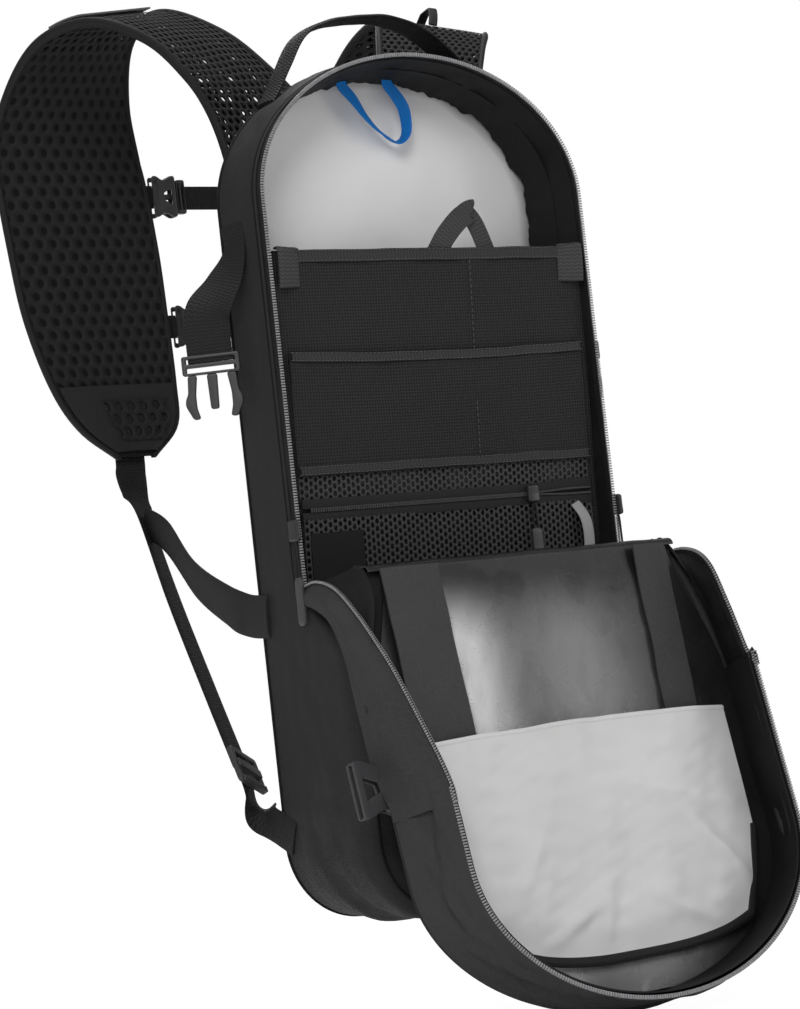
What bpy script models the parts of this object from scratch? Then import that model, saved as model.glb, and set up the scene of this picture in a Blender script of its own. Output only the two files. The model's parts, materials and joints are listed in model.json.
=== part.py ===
"""Hydration pack with an open clamshell front panel, vest straps and buckled sternum straps.

Pack coordinates: x to the right as seen from the front, y from the front to the wearer's back,
z up. Every sub-part is built in these coordinates and hangs under the empty named pack, which
puts the world origin where a hook carries the grab handle. The front panel is built closed and
is turned down about its fold by the empty on the fold's axis.
"""
import math

import bmesh
import bpy
from mathutils import Matrix, Vector

# Clearances and stock thicknesses, metres
GAP = 0.0003
PULL_THICK = 0.0024
SWING_GAP = 0.0006
WEB_THICK = 0.0016
CLOTH_THICK = 0.0012

# Body
HALF_WIDTH = 0.108
TOP_Z = 0.233
SPRING_Z = 0.151
BASE_Z = -0.245
BASE_RADIUS = 0.045
WALL = 0.003
RIM_Y = -0.050
FRONT_Y = -0.095
FOLD_Z = -0.038
ARCH_STEPS = 28
CORNER_STEPS = 6
PAD_THICK = 0.012
PAD_MARGIN = 0.009
YOKE_BASE_Z = 0.1455

# Front panel and main zip
OPEN_ANGLE = math.radians(166.0)
PANEL_CLEARANCE = 0.001
PANEL_FLARE = 0.014
ZIP_TAPE_WIDTH = 0.006
ZIP_TAPE_THICK = 0.002
SLIDER_LENGTH = 0.012
SLIDER_WIDTH = 0.010
SLIDER_THICK = 0.003
SLIDER_SETBACK = 0.003
PULL_LENGTH = 0.045
PULL_WIDTH = 0.008
POCKET_TOP_FROM_FOLD = 0.120
POCKET_BASE_FROM_FOLD = 0.243
POCKET_HALF_WIDTH = HALF_WIDTH - 0.008
POCKET_THICK = 0.004
SEAM_OUTER = HALF_WIDTH - 0.012
BINDING_WIDTH = 0.012

# Organiser
ORG_TOP_Z = 0.122
ORG_BASE_Z = -0.080
ORG_TOP_Y = -0.0455
ORG_BASE_Y = -0.034
ORG_THICK = 0.0016
ORG_POCKET_TOP_Z = 0.066
ORG_POCKET_BASE_Z = -0.002
MESH_BASE_Z = -0.075
ORG_POCKET_HALF_WIDTH = HALF_WIDTH - 0.0095
ORG_ZIP_Z = -0.0205
ORG_ZIP_HEIGHT = 0.012
ORG_SLIDER_X = 0.055
ORG_PULL_LENGTH = 0.034
LOOP_HALF_WIDTH = 0.0045
KEY_STRAP_X = HALF_WIDTH - 0.019
KEY_STRAP_LENGTH = 0.036
KEY_STRAP_WIDTH = 0.010

# Webbing and buckles
WIDE_WEB = 0.025
NARROW_WEB = 0.020
SMALL_WEB = 0.015
BUCKLE_LENGTH = 0.036
BUCKLE_THICK = 0.0075
PLUG_THICK = 0.004
PLUG_SWING_GAP = 0.0009
STERNUM_BUCKLE_WIDTH = 0.024
STERNUM_SOCKET_LENGTH = 0.016
UPPER_STERNUM_Z = 0.196
LOWER_STERNUM_Z = 0.114
HANGER_GAP = 0.0009
HANDLE_HALF_SPAN = 0.066
HANDLE_RISE = 0.028
HANDLE_WIDTH = 0.020
HANDLE_THICK = 0.0025
HANDLE_Y = -0.012

# Shoulder straps
STRAP_THICK = 0.007
LOBE_Y = 0.172
STRAP_STEPS = 36

BLACK = (0.012, 0.012, 0.013, 1.0)
CHARCOAL = (0.030, 0.030, 0.032, 1.0)
SILVER = (0.42, 0.42, 0.42, 1.0)
PALE_GREY = (0.62, 0.61, 0.62, 1.0)
BUCKLE_GREY = (0.07, 0.07, 0.075, 1.0)
HANGER_BLUE = (0.01, 0.17, 0.55, 1.0)


def clear_scene():
    for obj in list(bpy.data.objects):
        bpy.data.objects.remove(obj)


def paint(name, colour, roughness, metallic=0.0):
    """One Principled material named after its sub-part."""
    material = bpy.data.materials.new(name)
    material.use_nodes = True
    shader = material.node_tree.nodes["Principled BSDF"]
    shader.inputs["Base Color"].default_value = colour
    shader.inputs["Roughness"].default_value = roughness
    shader.inputs["Metallic"].default_value = metallic
    return material


def add_empty(name, place, parent=None, turn_x=0.0):
    """An empty at a place in pack coordinates, turned about x."""
    empty = bpy.data.objects.new(name, None)
    bpy.context.scene.collection.objects.link(empty)
    empty["pack_place"] = list(place)
    empty.location = Vector(place) - origin_of(parent)
    empty.rotation_euler = (turn_x, 0.0, 0.0)
    empty.parent = parent
    return empty


def origin_of(parent):
    """The place of a parent in pack coordinates."""
    if parent is None or "pack_place" not in parent:
        return Vector((0.0, 0.0, 0.0))
    return Vector(parent["pack_place"])


def add_part(name, mesh, parent, colour, roughness, origin=None, metallic=0.0, smooth=False):
    """Turn a bmesh in pack coordinates into a named object with its origin at a given place."""
    place = origin_of(parent) if origin is None else Vector(origin)
    bmesh.ops.recalc_face_normals(mesh, faces=mesh.faces)
    bmesh.ops.transform(mesh, matrix=Matrix.Translation(-place), verts=mesh.verts)
    data = bpy.data.meshes.new(name)
    mesh.to_mesh(data)
    mesh.free()
    if smooth:
        data.shade_smooth()
        data.set_sharp_from_angle(angle=math.radians(40.0))
    data.materials.append(paint(name, colour, roughness, metallic))
    obj = bpy.data.objects.new(name, data)
    bpy.context.scene.collection.objects.link(obj)
    obj["pack_place"] = list(place)
    obj.location = place - origin_of(parent)
    obj.parent = parent
    return obj


def loft(rings):
    """A closed solid through rings of points, with a cap on each end ring."""
    mesh = bmesh.new()
    loops = [[mesh.verts.new(point) for point in ring] for ring in rings]
    count = len(loops[0])
    for low, high in zip(loops, loops[1:]):
        for i in range(count):
            j = (i + 1) % count
            mesh.faces.new((low[i], low[j], high[j], high[i]))
    mesh.faces.new(loops[0])
    mesh.faces.new(loops[-1])
    return mesh


def box(x0, x1, y0, y1, z0, z1):
    """An axis-aligned block."""
    return prism([(x0, z0), (x1, z0), (x1, z1), (x0, z1)], y0, y1)


def prism(outline, y0, y1):
    """An outline in x and z, extruded from y0 to y1."""
    return loft([[(x, y, z) for x, z in outline] for y in (y0, y1)])


def ribbon(stations, thickness):
    """A flat band through (centre, width direction, half width) stations."""
    rings = []
    last = len(stations) - 1
    for i, (centre, across, half) in enumerate(stations):
        ahead = Vector(stations[min(i + 1, last)][0])
        behind = Vector(stations[max(i - 1, 0)][0])
        along = (ahead - behind).normalized()
        side = Vector(across)
        side = (side - side.dot(along) * along).normalized()
        up = side.cross(along) * (thickness / 2.0)
        middle = Vector(centre)
        rings.append([middle + side * half + up, middle - side * half + up,
                      middle - side * half - up, middle + side * half - up])
    return loft(rings)


def combine(mesh, others, operation):
    """The exact Boolean of a mesh with each of the others in turn."""
    for other in others:
        pair = []
        for name, source in (("target", mesh), ("tool", other)):
            bmesh.ops.recalc_face_normals(source, faces=source.faces)
            data = bpy.data.meshes.new(name)
            source.to_mesh(data)
            source.free()
            pair.append(bpy.data.objects.new(name, data))
            bpy.context.scene.collection.objects.link(pair[-1])
        target, tool = pair
        modifier = target.modifiers.new("combine", "BOOLEAN")
        modifier.operation = operation
        modifier.object = tool
        depsgraph = bpy.context.evaluated_depsgraph_get()
        result = bpy.data.meshes.new_from_object(target.evaluated_get(depsgraph))
        mesh = bmesh.new()
        mesh.from_mesh(result)
        for obj in pair:
            bpy.data.objects.remove(obj)
    return mesh


def mirrored(mesh, side):
    """The mesh itself for the left side (-1) and its mirror image for the right side (+1)."""
    if side > 0:
        bmesh.ops.scale(mesh, vec=(-1.0, 1.0, 1.0), verts=mesh.verts)
    return mesh


def arch_height(x, inset=0.0):
    """The z of the arched top at a given x, for an outline drawn in by inset."""
    a = HALF_WIDTH - inset
    b = TOP_Z - SPRING_Z - inset
    return SPRING_Z + b * math.sqrt(max(0.0, 1.0 - (x / a) ** 2))


def arch_path(inset, z_low):
    """Up the left side, over the arch and down the right side."""
    a = HALF_WIDTH - inset
    b = TOP_Z - SPRING_Z - inset
    path = [(-a, z_low)]
    for i in range(ARCH_STEPS + 1):
        angle = math.pi * (1.0 - i / ARCH_STEPS)
        path.append((a * math.cos(angle), SPRING_Z + b * math.sin(angle)))
    path.append((a, z_low))
    return path


def body_outline(inset):
    """The arched outline with its rounded base corners, drawn in by inset."""
    radius = BASE_RADIUS - inset
    centre_x = HALF_WIDTH - inset - radius
    centre_z = BASE_Z + inset + radius
    outline = arch_path(inset, centre_z)
    for side, start in ((1.0, 0.0), (-1.0, -math.pi / 2.0)):
        for i in range(CORNER_STEPS + 1):
            angle = start - math.pi / 2.0 * i / CORNER_STEPS
            if side < 0 and i == CORNER_STEPS or side > 0 and i == 0:
                continue
            outline.append((side * centre_x + radius * math.cos(angle),
                            centre_z + radius * math.sin(angle)))
    return outline


def arch_band(inset_out, inset_in, y0, y1, z_low):
    """A band that follows the arch between two insets and two depths."""
    outer = arch_path(inset_out, z_low)
    inner = arch_path(inset_in, z_low)
    return loft([[(xo, y0, zo), (xo, y1, zo), (xi, y1, zi), (xi, y0, zi)]
                 for (xo, zo), (xi, zi) in zip(outer, inner)])


def build_body(pack):
    """The main compartment's shell, its back pad, its lining wall and its half of the main zip."""
    shell = prism(body_outline(0.0), 0.0, FRONT_Y)
    upper_front = box(-1.0, 1.0, -1.0, RIM_Y, FOLD_Z, 1.0)
    hollow = prism(body_outline(WALL), -WALL, FRONT_Y + WALL)
    shell = combine(shell, [upper_front, hollow], "DIFFERENCE")
    add_part("body_shell", shell, pack, CHARCOAL, 0.85)

    pad = prism(body_outline(PAD_MARGIN), GAP, PAD_THICK)
    above_split = box(-1.0, 1.0, -1.0, 1.0, YOKE_BASE_Z - GAP, 1.0)
    add_part("back_panel_pad", combine(pad, [above_split], "DIFFERENCE"), pack, BLACK, 0.95)
    yoke = prism(body_outline(PAD_MARGIN), GAP, PAD_THICK)
    below_split = box(-1.0, 1.0, -1.0, 1.0, -1.0, YOKE_BASE_Z)
    add_part("strap_yoke", combine(yoke, [below_split], "DIFFERENCE"), pack, BLACK, 0.95)

    lining_y = -WALL - GAP
    lining = prism(body_outline(WALL + GAP), lining_y, lining_y - CLOTH_THICK)
    add_part("lining_panel", lining, pack, PALE_GREY, 0.7)

    tape_y = RIM_Y - GAP
    tape = arch_band(0.0, ZIP_TAPE_WIDTH, tape_y, tape_y - ZIP_TAPE_THICK, FOLD_Z)
    add_part("body_zip_tape", tape, pack, BLACK, 0.6)


def flare_at(y, rim_y):
    """How far the front panel's wall stands out past the zip line at a depth."""
    return PANEL_FLARE * (rim_y - y) / (rim_y - FRONT_Y)


def flared(inset, levels):
    """The outline lofted through depths, standing out sideways as the wall does at each depth."""
    return loft([[(x * (1.0 + more / HALF_WIDTH), y, z) for x, z in body_outline(inset)]
                 for y, more in levels])


def build_front_panel(hinge):
    """The tub-shaped front panel with its zip tape, lining, seam tapes and pocket, built closed."""
    tape_y = RIM_Y - ZIP_TAPE_THICK - 2.0 * GAP
    rim_y = tape_y - ZIP_TAPE_THICK - GAP
    start_z = FOLD_Z + PANEL_CLEARANCE
    floor_y = FRONT_Y + WALL
    shell = flared(0.0, ((rim_y, 0.0), (FRONT_Y, PANEL_FLARE)))
    below = box(-1.0, 1.0, -1.0, 1.0, -1.0, start_z)
    hollow = flared(WALL, ((0.0, 0.0), (rim_y, 0.0), (floor_y, flare_at(floor_y, rim_y))))
    shell = combine(shell, [below, hollow], "DIFFERENCE")
    add_part("front_panel_shell", shell, hinge, CHARCOAL, 0.85)

    tape = arch_band(0.0, ZIP_TAPE_WIDTH, tape_y, tape_y - ZIP_TAPE_THICK, start_z)
    add_part("front_panel_zip_tape", tape, hinge, BLACK, 0.6)

    lining_y = floor_y + GAP
    lining_face = lining_y + CLOTH_THICK
    reach = flare_at(lining_face, rim_y)
    lining = combine(flared(WALL + GAP, ((lining_y, reach), (lining_face, reach))),
                     [box(-1.0, 1.0, -1.0, 1.0, -1.0, start_z)], "DIFFERENCE")
    add_part("front_panel_lining", lining, hinge, SILVER, 0.25)

    seam_y = lining_face + GAP
    pocket_top = FOLD_Z + POCKET_TOP_FROM_FOLD
    for name, x0, x1 in (("left", -SEAM_OUTER, -SEAM_OUTER + 0.036),
                         ("right", SEAM_OUTER - 0.026, SEAM_OUTER)):
        seam = box(x0, x1, seam_y, seam_y + CLOTH_THICK, start_z, pocket_top - GAP)
        add_part("front_panel_seam_tape_" + name, seam, hinge, CHARCOAL, 0.8)

    base = FOLD_Z + POCKET_BASE_FROM_FOLD
    half = POCKET_HALF_WIDTH
    outline = [(-half, pocket_top), (half, pocket_top), (half, SPRING_Z),
               (half * 0.66, base), (-half * 0.66, base), (-half, SPRING_Z)]
    pocket = prism(outline, seam_y, seam_y + POCKET_THICK)
    add_part("front_panel_pocket", pocket, hinge, PALE_GREY, 0.55)
    low = [(-half * 0.66, base + GAP), (half * 0.66, base + GAP),
           (half * 0.56, base + BINDING_WIDTH), (-half * 0.56, base + BINDING_WIDTH)]
    binding = prism(low, seam_y, seam_y + POCKET_THICK)
    add_part("pocket_binding", binding, hinge, BLACK, 0.8)


def organiser_y(z):
    """The y of the organiser's back face, which leans forward towards its top."""
    share = (z - ORG_BASE_Z) / (ORG_TOP_Z - ORG_BASE_Z)
    return ORG_BASE_Y + (ORG_TOP_Y - ORG_BASE_Y) * share


def organiser_slab(x0, x1, z0, z1, front_from, thickness):
    """A slab parallel to the organiser, its back face front_from ahead of the organiser's back."""
    rings = []
    for x in (x0, x1):
        rings.append([(x, organiser_y(z) - ahead, z) for z, ahead in
                      ((z0, front_from), (z1, front_from),
                       (z1, front_from + thickness), (z0, front_from + thickness))])
    return loft(rings)


def build_organiser(pack):
    """The organiser panel with its pockets, zip, tabs, loops and key strap."""
    half = HALF_WIDTH - WALL - GAP
    first = ORG_THICK + GAP
    second = first + CLOTH_THICK + GAP
    panel = organiser_slab(-half, half, ORG_BASE_Z, ORG_TOP_Z, 0.0, ORG_THICK)
    add_part("organiser_panel", panel, pack, CHARCOAL, 0.9)

    wide = ORG_POCKET_HALF_WIDTH
    pocket = organiser_slab(-wide, wide, ORG_POCKET_BASE_Z, ORG_POCKET_TOP_Z, first, CLOTH_THICK)
    add_part("organiser_stretch_pocket", pocket, pack, CHARCOAL, 0.9)
    mesh_top = ORG_POCKET_BASE_Z - GAP
    pocket = organiser_slab(-wide, wide, MESH_BASE_Z, mesh_top, first, CLOTH_THICK)
    add_part("organiser_mesh_pocket", pocket, pack, BLACK, 0.9)

    tape_low = ORG_ZIP_Z - ORG_ZIP_HEIGHT / 2.0
    tape_high = ORG_ZIP_Z + ORG_ZIP_HEIGHT / 2.0
    tape = organiser_slab(-wide, wide, tape_low, tape_high, second, CLOTH_THICK)
    add_part("organiser_zip_tape", tape, pack, BLACK, 0.6)
    patch = organiser_slab(-wide + 0.0035, -wide + 0.0365, -0.062, -0.034, second, CLOTH_THICK)
    add_part("organiser_patch", patch, pack, BLACK, 0.8)

    for side, name in ((-1.0, "left"), (1.0, "right")):
        edges = sorted((side * (half - SMALL_WEB), side * half))
        tab = organiser_slab(edges[0], edges[1], ORG_TOP_Z - 0.020, ORG_TOP_Z + 0.001,
                             first, WEB_THICK)
        add_part("corner_tab_" + name, tab, pack, BUCKLE_GREY, 0.8)

    loop_y = organiser_y(ORG_TOP_Z) - ORG_THICK / 2.0
    foot = ORG_TOP_Z + GAP
    route = [(0.003, foot), (0.0135, foot + 0.011), (0.0260, foot + 0.0180),
             (0.0350, foot + 0.0165), (0.0395, foot + 0.009), (0.0410, foot)]
    last = len(route) - 1
    rings = []
    for i, (x, z) in enumerate(route):
        along = (Vector(route[min(i + 1, last)]) - Vector(route[max(i - 1, 0)])).normalized()
        across = Vector((-along.y, along.x)) * LOOP_HALF_WIDTH
        if i == 0:
            across = Vector((-LOOP_HALF_WIDTH, 0.0))
        if i == last:
            across = Vector((LOOP_HALF_WIDTH, 0.0))
        rings.append([(x + across.x, loop_y + WEB_THICK / 2.0, z + across.y),
                      (x + across.x, loop_y - WEB_THICK / 2.0, z + across.y),
                      (x - across.x, loop_y - WEB_THICK / 2.0, z - across.y),
                      (x - across.x, loop_y + WEB_THICK / 2.0, z - across.y)])
    add_part("organiser_pull_loop", loft(rings), pack, BUCKLE_GREY, 0.8)

    third = second + CLOTH_THICK + GAP
    x = ORG_SLIDER_X
    slider_place = (x, organiser_y(ORG_ZIP_Z) - third, ORG_ZIP_Z)
    slider = organiser_slab(x - 0.004, x + 0.004, ORG_ZIP_Z - 0.005, ORG_ZIP_Z + 0.005,
                            third, SLIDER_THICK)
    slider = add_part("organiser_zip_slider", slider, pack, BLACK, 0.4, origin=slider_place)
    pull_top = ORG_ZIP_Z - 0.005 - SWING_GAP
    pull_y = organiser_y(pull_top) - third - SLIDER_THICK / 2.0
    pull = pull_solid((x, pull_y, pull_top), ORG_PULL_LENGTH)
    add_part("organiser_zip_pull", pull, slider, BUCKLE_GREY, 0.5,
             origin=(x, pull_y, pull_top - PULL_THICK / 2.0))

    key_top = tape_low - SWING_GAP
    key_y = organiser_y(key_top) - second - 0.001
    hang = ribbon([((KEY_STRAP_X, key_y, key_top), (1, 0, 0), KEY_STRAP_WIDTH / 2.0),
                   ((KEY_STRAP_X, key_y, key_top - KEY_STRAP_LENGTH), (1, 0, 0),
                    KEY_STRAP_WIDTH / 2.0)], WEB_THICK)
    key_axis = (KEY_STRAP_X, key_y, key_top - WEB_THICK / 2.0)
    strap = add_part("key_strap", hang, pack, PALE_GREY, 0.7, origin=key_axis)
    clip_top = key_top - KEY_STRAP_LENGTH - GAP
    clip = box(KEY_STRAP_X - 0.006, KEY_STRAP_X + 0.006, key_y - 0.001, key_y + 0.001,
               clip_top - 0.018, clip_top)
    slot = box(KEY_STRAP_X - 0.0035, KEY_STRAP_X + 0.0035, key_y - 0.01, key_y + 0.01,
               clip_top - 0.015, clip_top - 0.004)
    clip = combine(clip, [slot], "DIFFERENCE")
    add_part("key_clip", clip, strap, BUCKLE_GREY, 0.4, origin=key_axis)


def pull_solid(top, length):
    """A zip pull that hangs from its top point: a cord loop above a moulded tab."""
    x, y, z = top
    sections = ((0.0, 0.0015), (0.35, 0.0015), (0.45, 0.5 * PULL_WIDTH), (0.95, 0.42 * PULL_WIDTH),
                (1.0, 0.25 * PULL_WIDTH))
    rings = []
    for share, half in sections:
        level = z - share * length
        front = y - PULL_THICK / 2.0
        back = y + PULL_THICK / 2.0
        rings.append([(x + half, back, level), (x - half, back, level),
                      (x - half, front, level), (x + half, front, level)])
    return loft(rings)


def build_main_zip_sliders(pack):
    """A slider and its swinging pull at each end of the main zip, outside the side wall."""
    y = RIM_Y - GAP - ZIP_TAPE_THICK + SLIDER_SETBACK
    low = FOLD_Z + 0.001
    for side, name in ((-1.0, "left"), (1.0, "right")):
        inner = HALF_WIDTH + GAP
        block = box(-inner - SLIDER_THICK, -inner, y - SLIDER_WIDTH / 2.0, y + SLIDER_WIDTH / 2.0,
                    low, low + SLIDER_LENGTH)
        place = (side * (inner + SLIDER_THICK / 2.0), y, low)
        slider = add_part("main_zip_slider_" + name, mirrored(block, side), pack, BLACK, 0.35,
                          origin=place)
        pull = pull_solid((0.0, 0.0, 0.0), PULL_LENGTH)
        bmesh.ops.rotate(pull, cent=(0, 0, 0), matrix=Matrix.Rotation(math.pi / 2.0, 3, "Z"),
                         verts=pull.verts)
        top = Vector((side * (inner + SWING_GAP + PULL_THICK / 2.0), y, low - SWING_GAP))
        bmesh.ops.translate(pull, vec=top, verts=pull.verts)
        add_part("main_zip_pull_" + name, pull, slider, BUCKLE_GREY, 0.5,
                 origin=top - Vector((0.0, 0.0, PULL_THICK / 2.0)))


def build_loops(pack):
    """The reservoir's hanger loop inside the top and the grab handle outside it."""
    top = arch_height(-0.0285, WALL) - HANGER_GAP
    y = -0.014
    top_right = arch_height(0.0095, WALL) - HANGER_GAP
    route = ((-0.0253, top, 0.0), (-0.0251, top - 0.004, 0.0), (-0.0188, 0.2150, 0.3),
             (-0.0112, 0.2040, 0.7), (-0.0032, 0.1960, 1.0), (0.0076, 0.1897, 1.2),
             (0.0150, 0.1956, 1.0), (0.0152, 0.2091, 0.6), (0.0105, 0.2180, 0.2),
             (0.0061, top_right - 0.005, 0.0), (0.0060, top_right, 0.0))
    stations = []
    for i, (x, z, turn) in enumerate(route):
        ahead = route[min(i + 1, len(route) - 1)]
        behind = route[max(i - 1, 0)]
        flat = Vector((behind[1] - ahead[1], 0.0, ahead[0] - behind[0])).normalized()
        across = flat * math.cos(turn) + Vector((0.0, -1.0, 0.0)) * math.sin(turn)
        stations.append(((x, y, z), across, 0.0034))
    add_part("hanger_loop", ribbon(stations, WEB_THICK), pack, HANGER_BLUE, 0.6,
             origin=(-0.010, y, top - WEB_THICK / 2.0))

    raise_by = GAP + HANDLE_THICK / 2.0
    span = HANDLE_HALF_SPAN
    stations = []
    for x in (-span - 0.010, -span):
        stations.append((x, arch_height(x, -raise_by)))
    crest = TOP_Z + HANDLE_RISE + HANDLE_THICK / 2.0
    for share in (0.93, 0.80, 0.60, 0.38, 0.18):
        x = -span * share
        lift = math.sqrt(1.0 - share ** 2)
        low = arch_height(-span, -raise_by)
        stations.append((x, low + (crest - low) * lift))
    left = stations + [(0.0, crest)]
    route = left + [(-x, z) for x, z in reversed(stations)]
    flat = [((x, HANDLE_Y, z), (0.0, 1.0, 0.0), HANDLE_WIDTH / 2.0) for x, z in route]
    add_part("grab_handle", ribbon(flat, HANDLE_THICK), pack, BLACK, 0.8)


STRAP_ROOT_Y = PAD_THICK + GAP + STRAP_THICK / 2.0
STRAP_ROUTE = (
    # x, y, z of the left strap's middle, then its width direction and half width
    ((-0.057, STRAP_ROOT_Y, 0.150), (1.0, 0.0, 0.0), 0.030),
    ((-0.057, STRAP_ROOT_Y, 0.185), (1.0, 0.0, 0.0), 0.033),
    ((-0.060, 0.024, 0.216), (1.0, 0.0, 0.0), 0.034),
    ((-0.071, 0.036, 0.242), (0.97, 0.20, 0.12), 0.034),
    ((-0.087, 0.054, 0.267), (0.93, 0.32, 0.16), 0.035),
    ((-0.108, 0.083, 0.284), (0.90, 0.38, 0.20), 0.037),
    ((-0.116, 0.122, 0.278), (0.93, 0.30, 0.12), 0.042),
    ((-0.115, 0.155, 0.250), (0.98, 0.16, 0.04), 0.047),
    ((-0.110, LOBE_Y, 0.215), (1.0, 0.0, 0.0), 0.050),
    ((-0.105, LOBE_Y, 0.165), (1.0, 0.0, 0.0), 0.051),
    ((-0.101, LOBE_Y, 0.120), (1.0, 0.0, 0.0), 0.049),
    ((-0.094, LOBE_Y, 0.078), (1.0, 0.0, 0.0), 0.043),
    ((-0.087, LOBE_Y, 0.052), (1.0, 0.0, 0.0), 0.034),
    ((-0.084, LOBE_Y, 0.034), (1.0, 0.0, 0.0), 0.014),
)


def strap_station(share):
    """A smooth station on the left strap, from its root (0) to the lobe's end (1)."""
    last = len(STRAP_ROUTE) - 1
    place = share * last
    i = min(int(place), last - 1)
    f = place - i
    keys = [STRAP_ROUTE[max(0, min(last, i + k))][0] for k in (-1, 0, 1, 2)]
    centre = []
    for a, b, c, d in zip(*keys):
        centre.append(0.5 * (2 * b + (c - a) * f + (2 * a - 5 * b + 4 * c - d) * f ** 2
                             + (3 * b - a - 3 * c + d) * f ** 3))
    centre[1] = min(max(centre[1], STRAP_ROOT_Y), LOBE_Y)
    across = Vector(STRAP_ROUTE[i][1]).lerp(Vector(STRAP_ROUTE[i + 1][1]), f)
    half = STRAP_ROUTE[i][2] * (1.0 - f) + STRAP_ROUTE[i + 1][2] * f
    return Vector(centre), across.normalized(), half


def strap_normal(share):
    """The direction out of the strap's outer face."""
    step = 0.004
    ahead = strap_station(min(1.0, share + step))[0]
    behind = strap_station(max(0.0, share - step))[0]
    across = strap_station(share)[1]
    return (ahead - behind).cross(across).normalized() * -1.0


def build_shoulder_straps(pack):
    """The two padded vest straps, the bare label band and the elastic keeper on the right one."""
    for side, name in ((-1.0, "left"), (1.0, "right")):
        stations = [strap_station(i / STRAP_STEPS) for i in range(STRAP_STEPS + 1)]
        strap = mirrored(ribbon(stations, STRAP_THICK), side)
        add_part("shoulder_strap_" + name, strap, pack, BLACK, 0.95)

    band = []
    for step in (14, 15, 16):
        share = step / STRAP_STEPS
        centre, across, half = strap_station(share)
        lift = STRAP_THICK / 2.0 + 2.5 * GAP + CLOTH_THICK / 2.0
        band.append((centre + strap_normal(share) * lift, across, half - 0.004))
    add_part("strap_label_band", ribbon(band, CLOTH_THICK), pack, BUCKLE_GREY, 0.7)

    route = []
    for share, lift in ((0.330, 0.0), (0.335, 0.006), (0.350, 0.011), (0.375, 0.011),
                        (0.395, 0.006), (0.400, 0.0)):
        centre = strap_station(share)[0]
        rise = STRAP_THICK / 2.0 + 2.0 * GAP + lift + 0.0006
        route.append((centre + strap_normal(share) * rise, strap_station(share)[1], 0.0025))
    add_part("strap_elastic_keeper", mirrored(ribbon(route, 0.0012), 1.0), pack, BLACK, 0.6)


def build_lower_straps(pack):
    """From each strap's end: a wing to the pack's side and webbing through a ladder lock."""
    wall = -HALF_WIDTH - GAP - WEB_THICK / 2.0
    outer_face = LOBE_Y + STRAP_THICK / 2.0 + GAP + WEB_THICK / 2.0
    lock_mid = Vector((-0.1125, 0.030, -0.160))
    fork = Vector((-0.094, 0.150, -0.006))
    down = (lock_mid - fork).normalized()
    half_web = NARROW_WEB / 2.0
    tilt = Vector((0.75, 0.66, 0.0))
    for side, name in ((-1.0, "left"), (1.0, "right")):
        tail = [((-0.086, outer_face, 0.062), (1, 0, 0), half_web),
                ((-0.086, outer_face, 0.046), (1, 0, 0), half_web),
                ((-0.086, outer_face, 0.030), (1, 0, 0), half_web),
                ((-0.087, outer_face - 0.001, 0.022), (1, 0, 0), half_web),
                ((-0.091, 0.165, 0.008), (0.93, 0.37, 0.0), half_web),
                (fork, tilt, half_web)]
        for share in (0.25, 0.5, 0.75):
            tail.append((fork.lerp(lock_mid, share), tilt, half_web))
        tail.append((lock_mid - down * 0.001, tilt, half_web))
        add_part("lower_webbing_" + name, mirrored(ribbon(tail, WEB_THICK), side), pack,
                 BLACK, 0.8)

        face = down.cross(tilt).normalized()
        wing = [(fork + face * (WEB_THICK / 2.0 + GAP), -down, 0.009),
                (fork + face * 0.0063, -down, 0.009),
                ((-0.0987, 0.1153, -0.0203), (0.1, 0.4, 1.0), 0.0095),
                ((-0.1072, 0.0704, -0.0482), (0.0, 0.3, 1.0), 0.0105),
                ((wall - 0.0021, 0.0271, -0.0663), (0.0, 0.2, 1.0), 0.0115),
                ((wall, 0.0083, -0.0732), (0.0, 0.1, 1.0), 0.012),
                ((wall, -0.0123, -0.0752), (0.0, 0.0, 1.0), 0.012)]
        if side > 0.0:
            wing.reverse()
        add_part("lower_wing_" + name, mirrored(ribbon(wing, WEB_THICK), side), pack, BLACK, 0.85)

        anchor_top = lock_mid + down * 0.001
        anchor = [(anchor_top, tilt, half_web),
                  (lock_mid + down * 0.018, tilt, half_web),
                  ((wall, 0.021, -0.181), (0.2, 1.0, 0.8), half_web),
                  ((wall, 0.008, -0.188), (0.0, 0.5, 1.0), half_web),
                  ((wall, -0.003, -0.193), (0.0, 0.5, 1.0), half_web),
                  ((wall, -0.014, -0.198), (0.0, 0.5, 1.0), half_web)]
        add_part("anchor_webbing_" + name, mirrored(ribbon(anchor, WEB_THICK), side), pack,
                 BLACK, 0.8)

        lock = ladder_lock(lock_mid, down, tilt)
        place = Vector((side * -lock_mid.x, lock_mid.y, lock_mid.z))
        add_part("ladder_lock_" + name, mirrored(lock, side), pack, BUCKLE_GREY, 0.45,
                 origin=place)


def ladder_lock(middle, down, across):
    """A ladder lock in front of its webbing: a frame with two slots."""
    half = NARROW_WEB / 2.0
    plate = box(-half - 0.0035, half + 0.0035, 0.0, 0.0035, -0.012, 0.012)
    slots = [box(-half - 0.0005, half + 0.0005, -1.0, 1.0, low, low + 0.0055)
             for low in (-0.0085, 0.003)]
    plate = combine(plate, slots, "DIFFERENCE")
    side = (across - across.dot(down) * down).normalized()
    ahead = side.cross(down).normalized()
    if ahead.y > 0.0:
        ahead = -ahead
    frame = Matrix((side, ahead, -down)).transposed().to_4x4()
    frame.translation = middle + ahead * (GAP + WEB_THICK / 2.0)
    bmesh.ops.transform(plate, matrix=frame, verts=plate.verts)
    return plate


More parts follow.
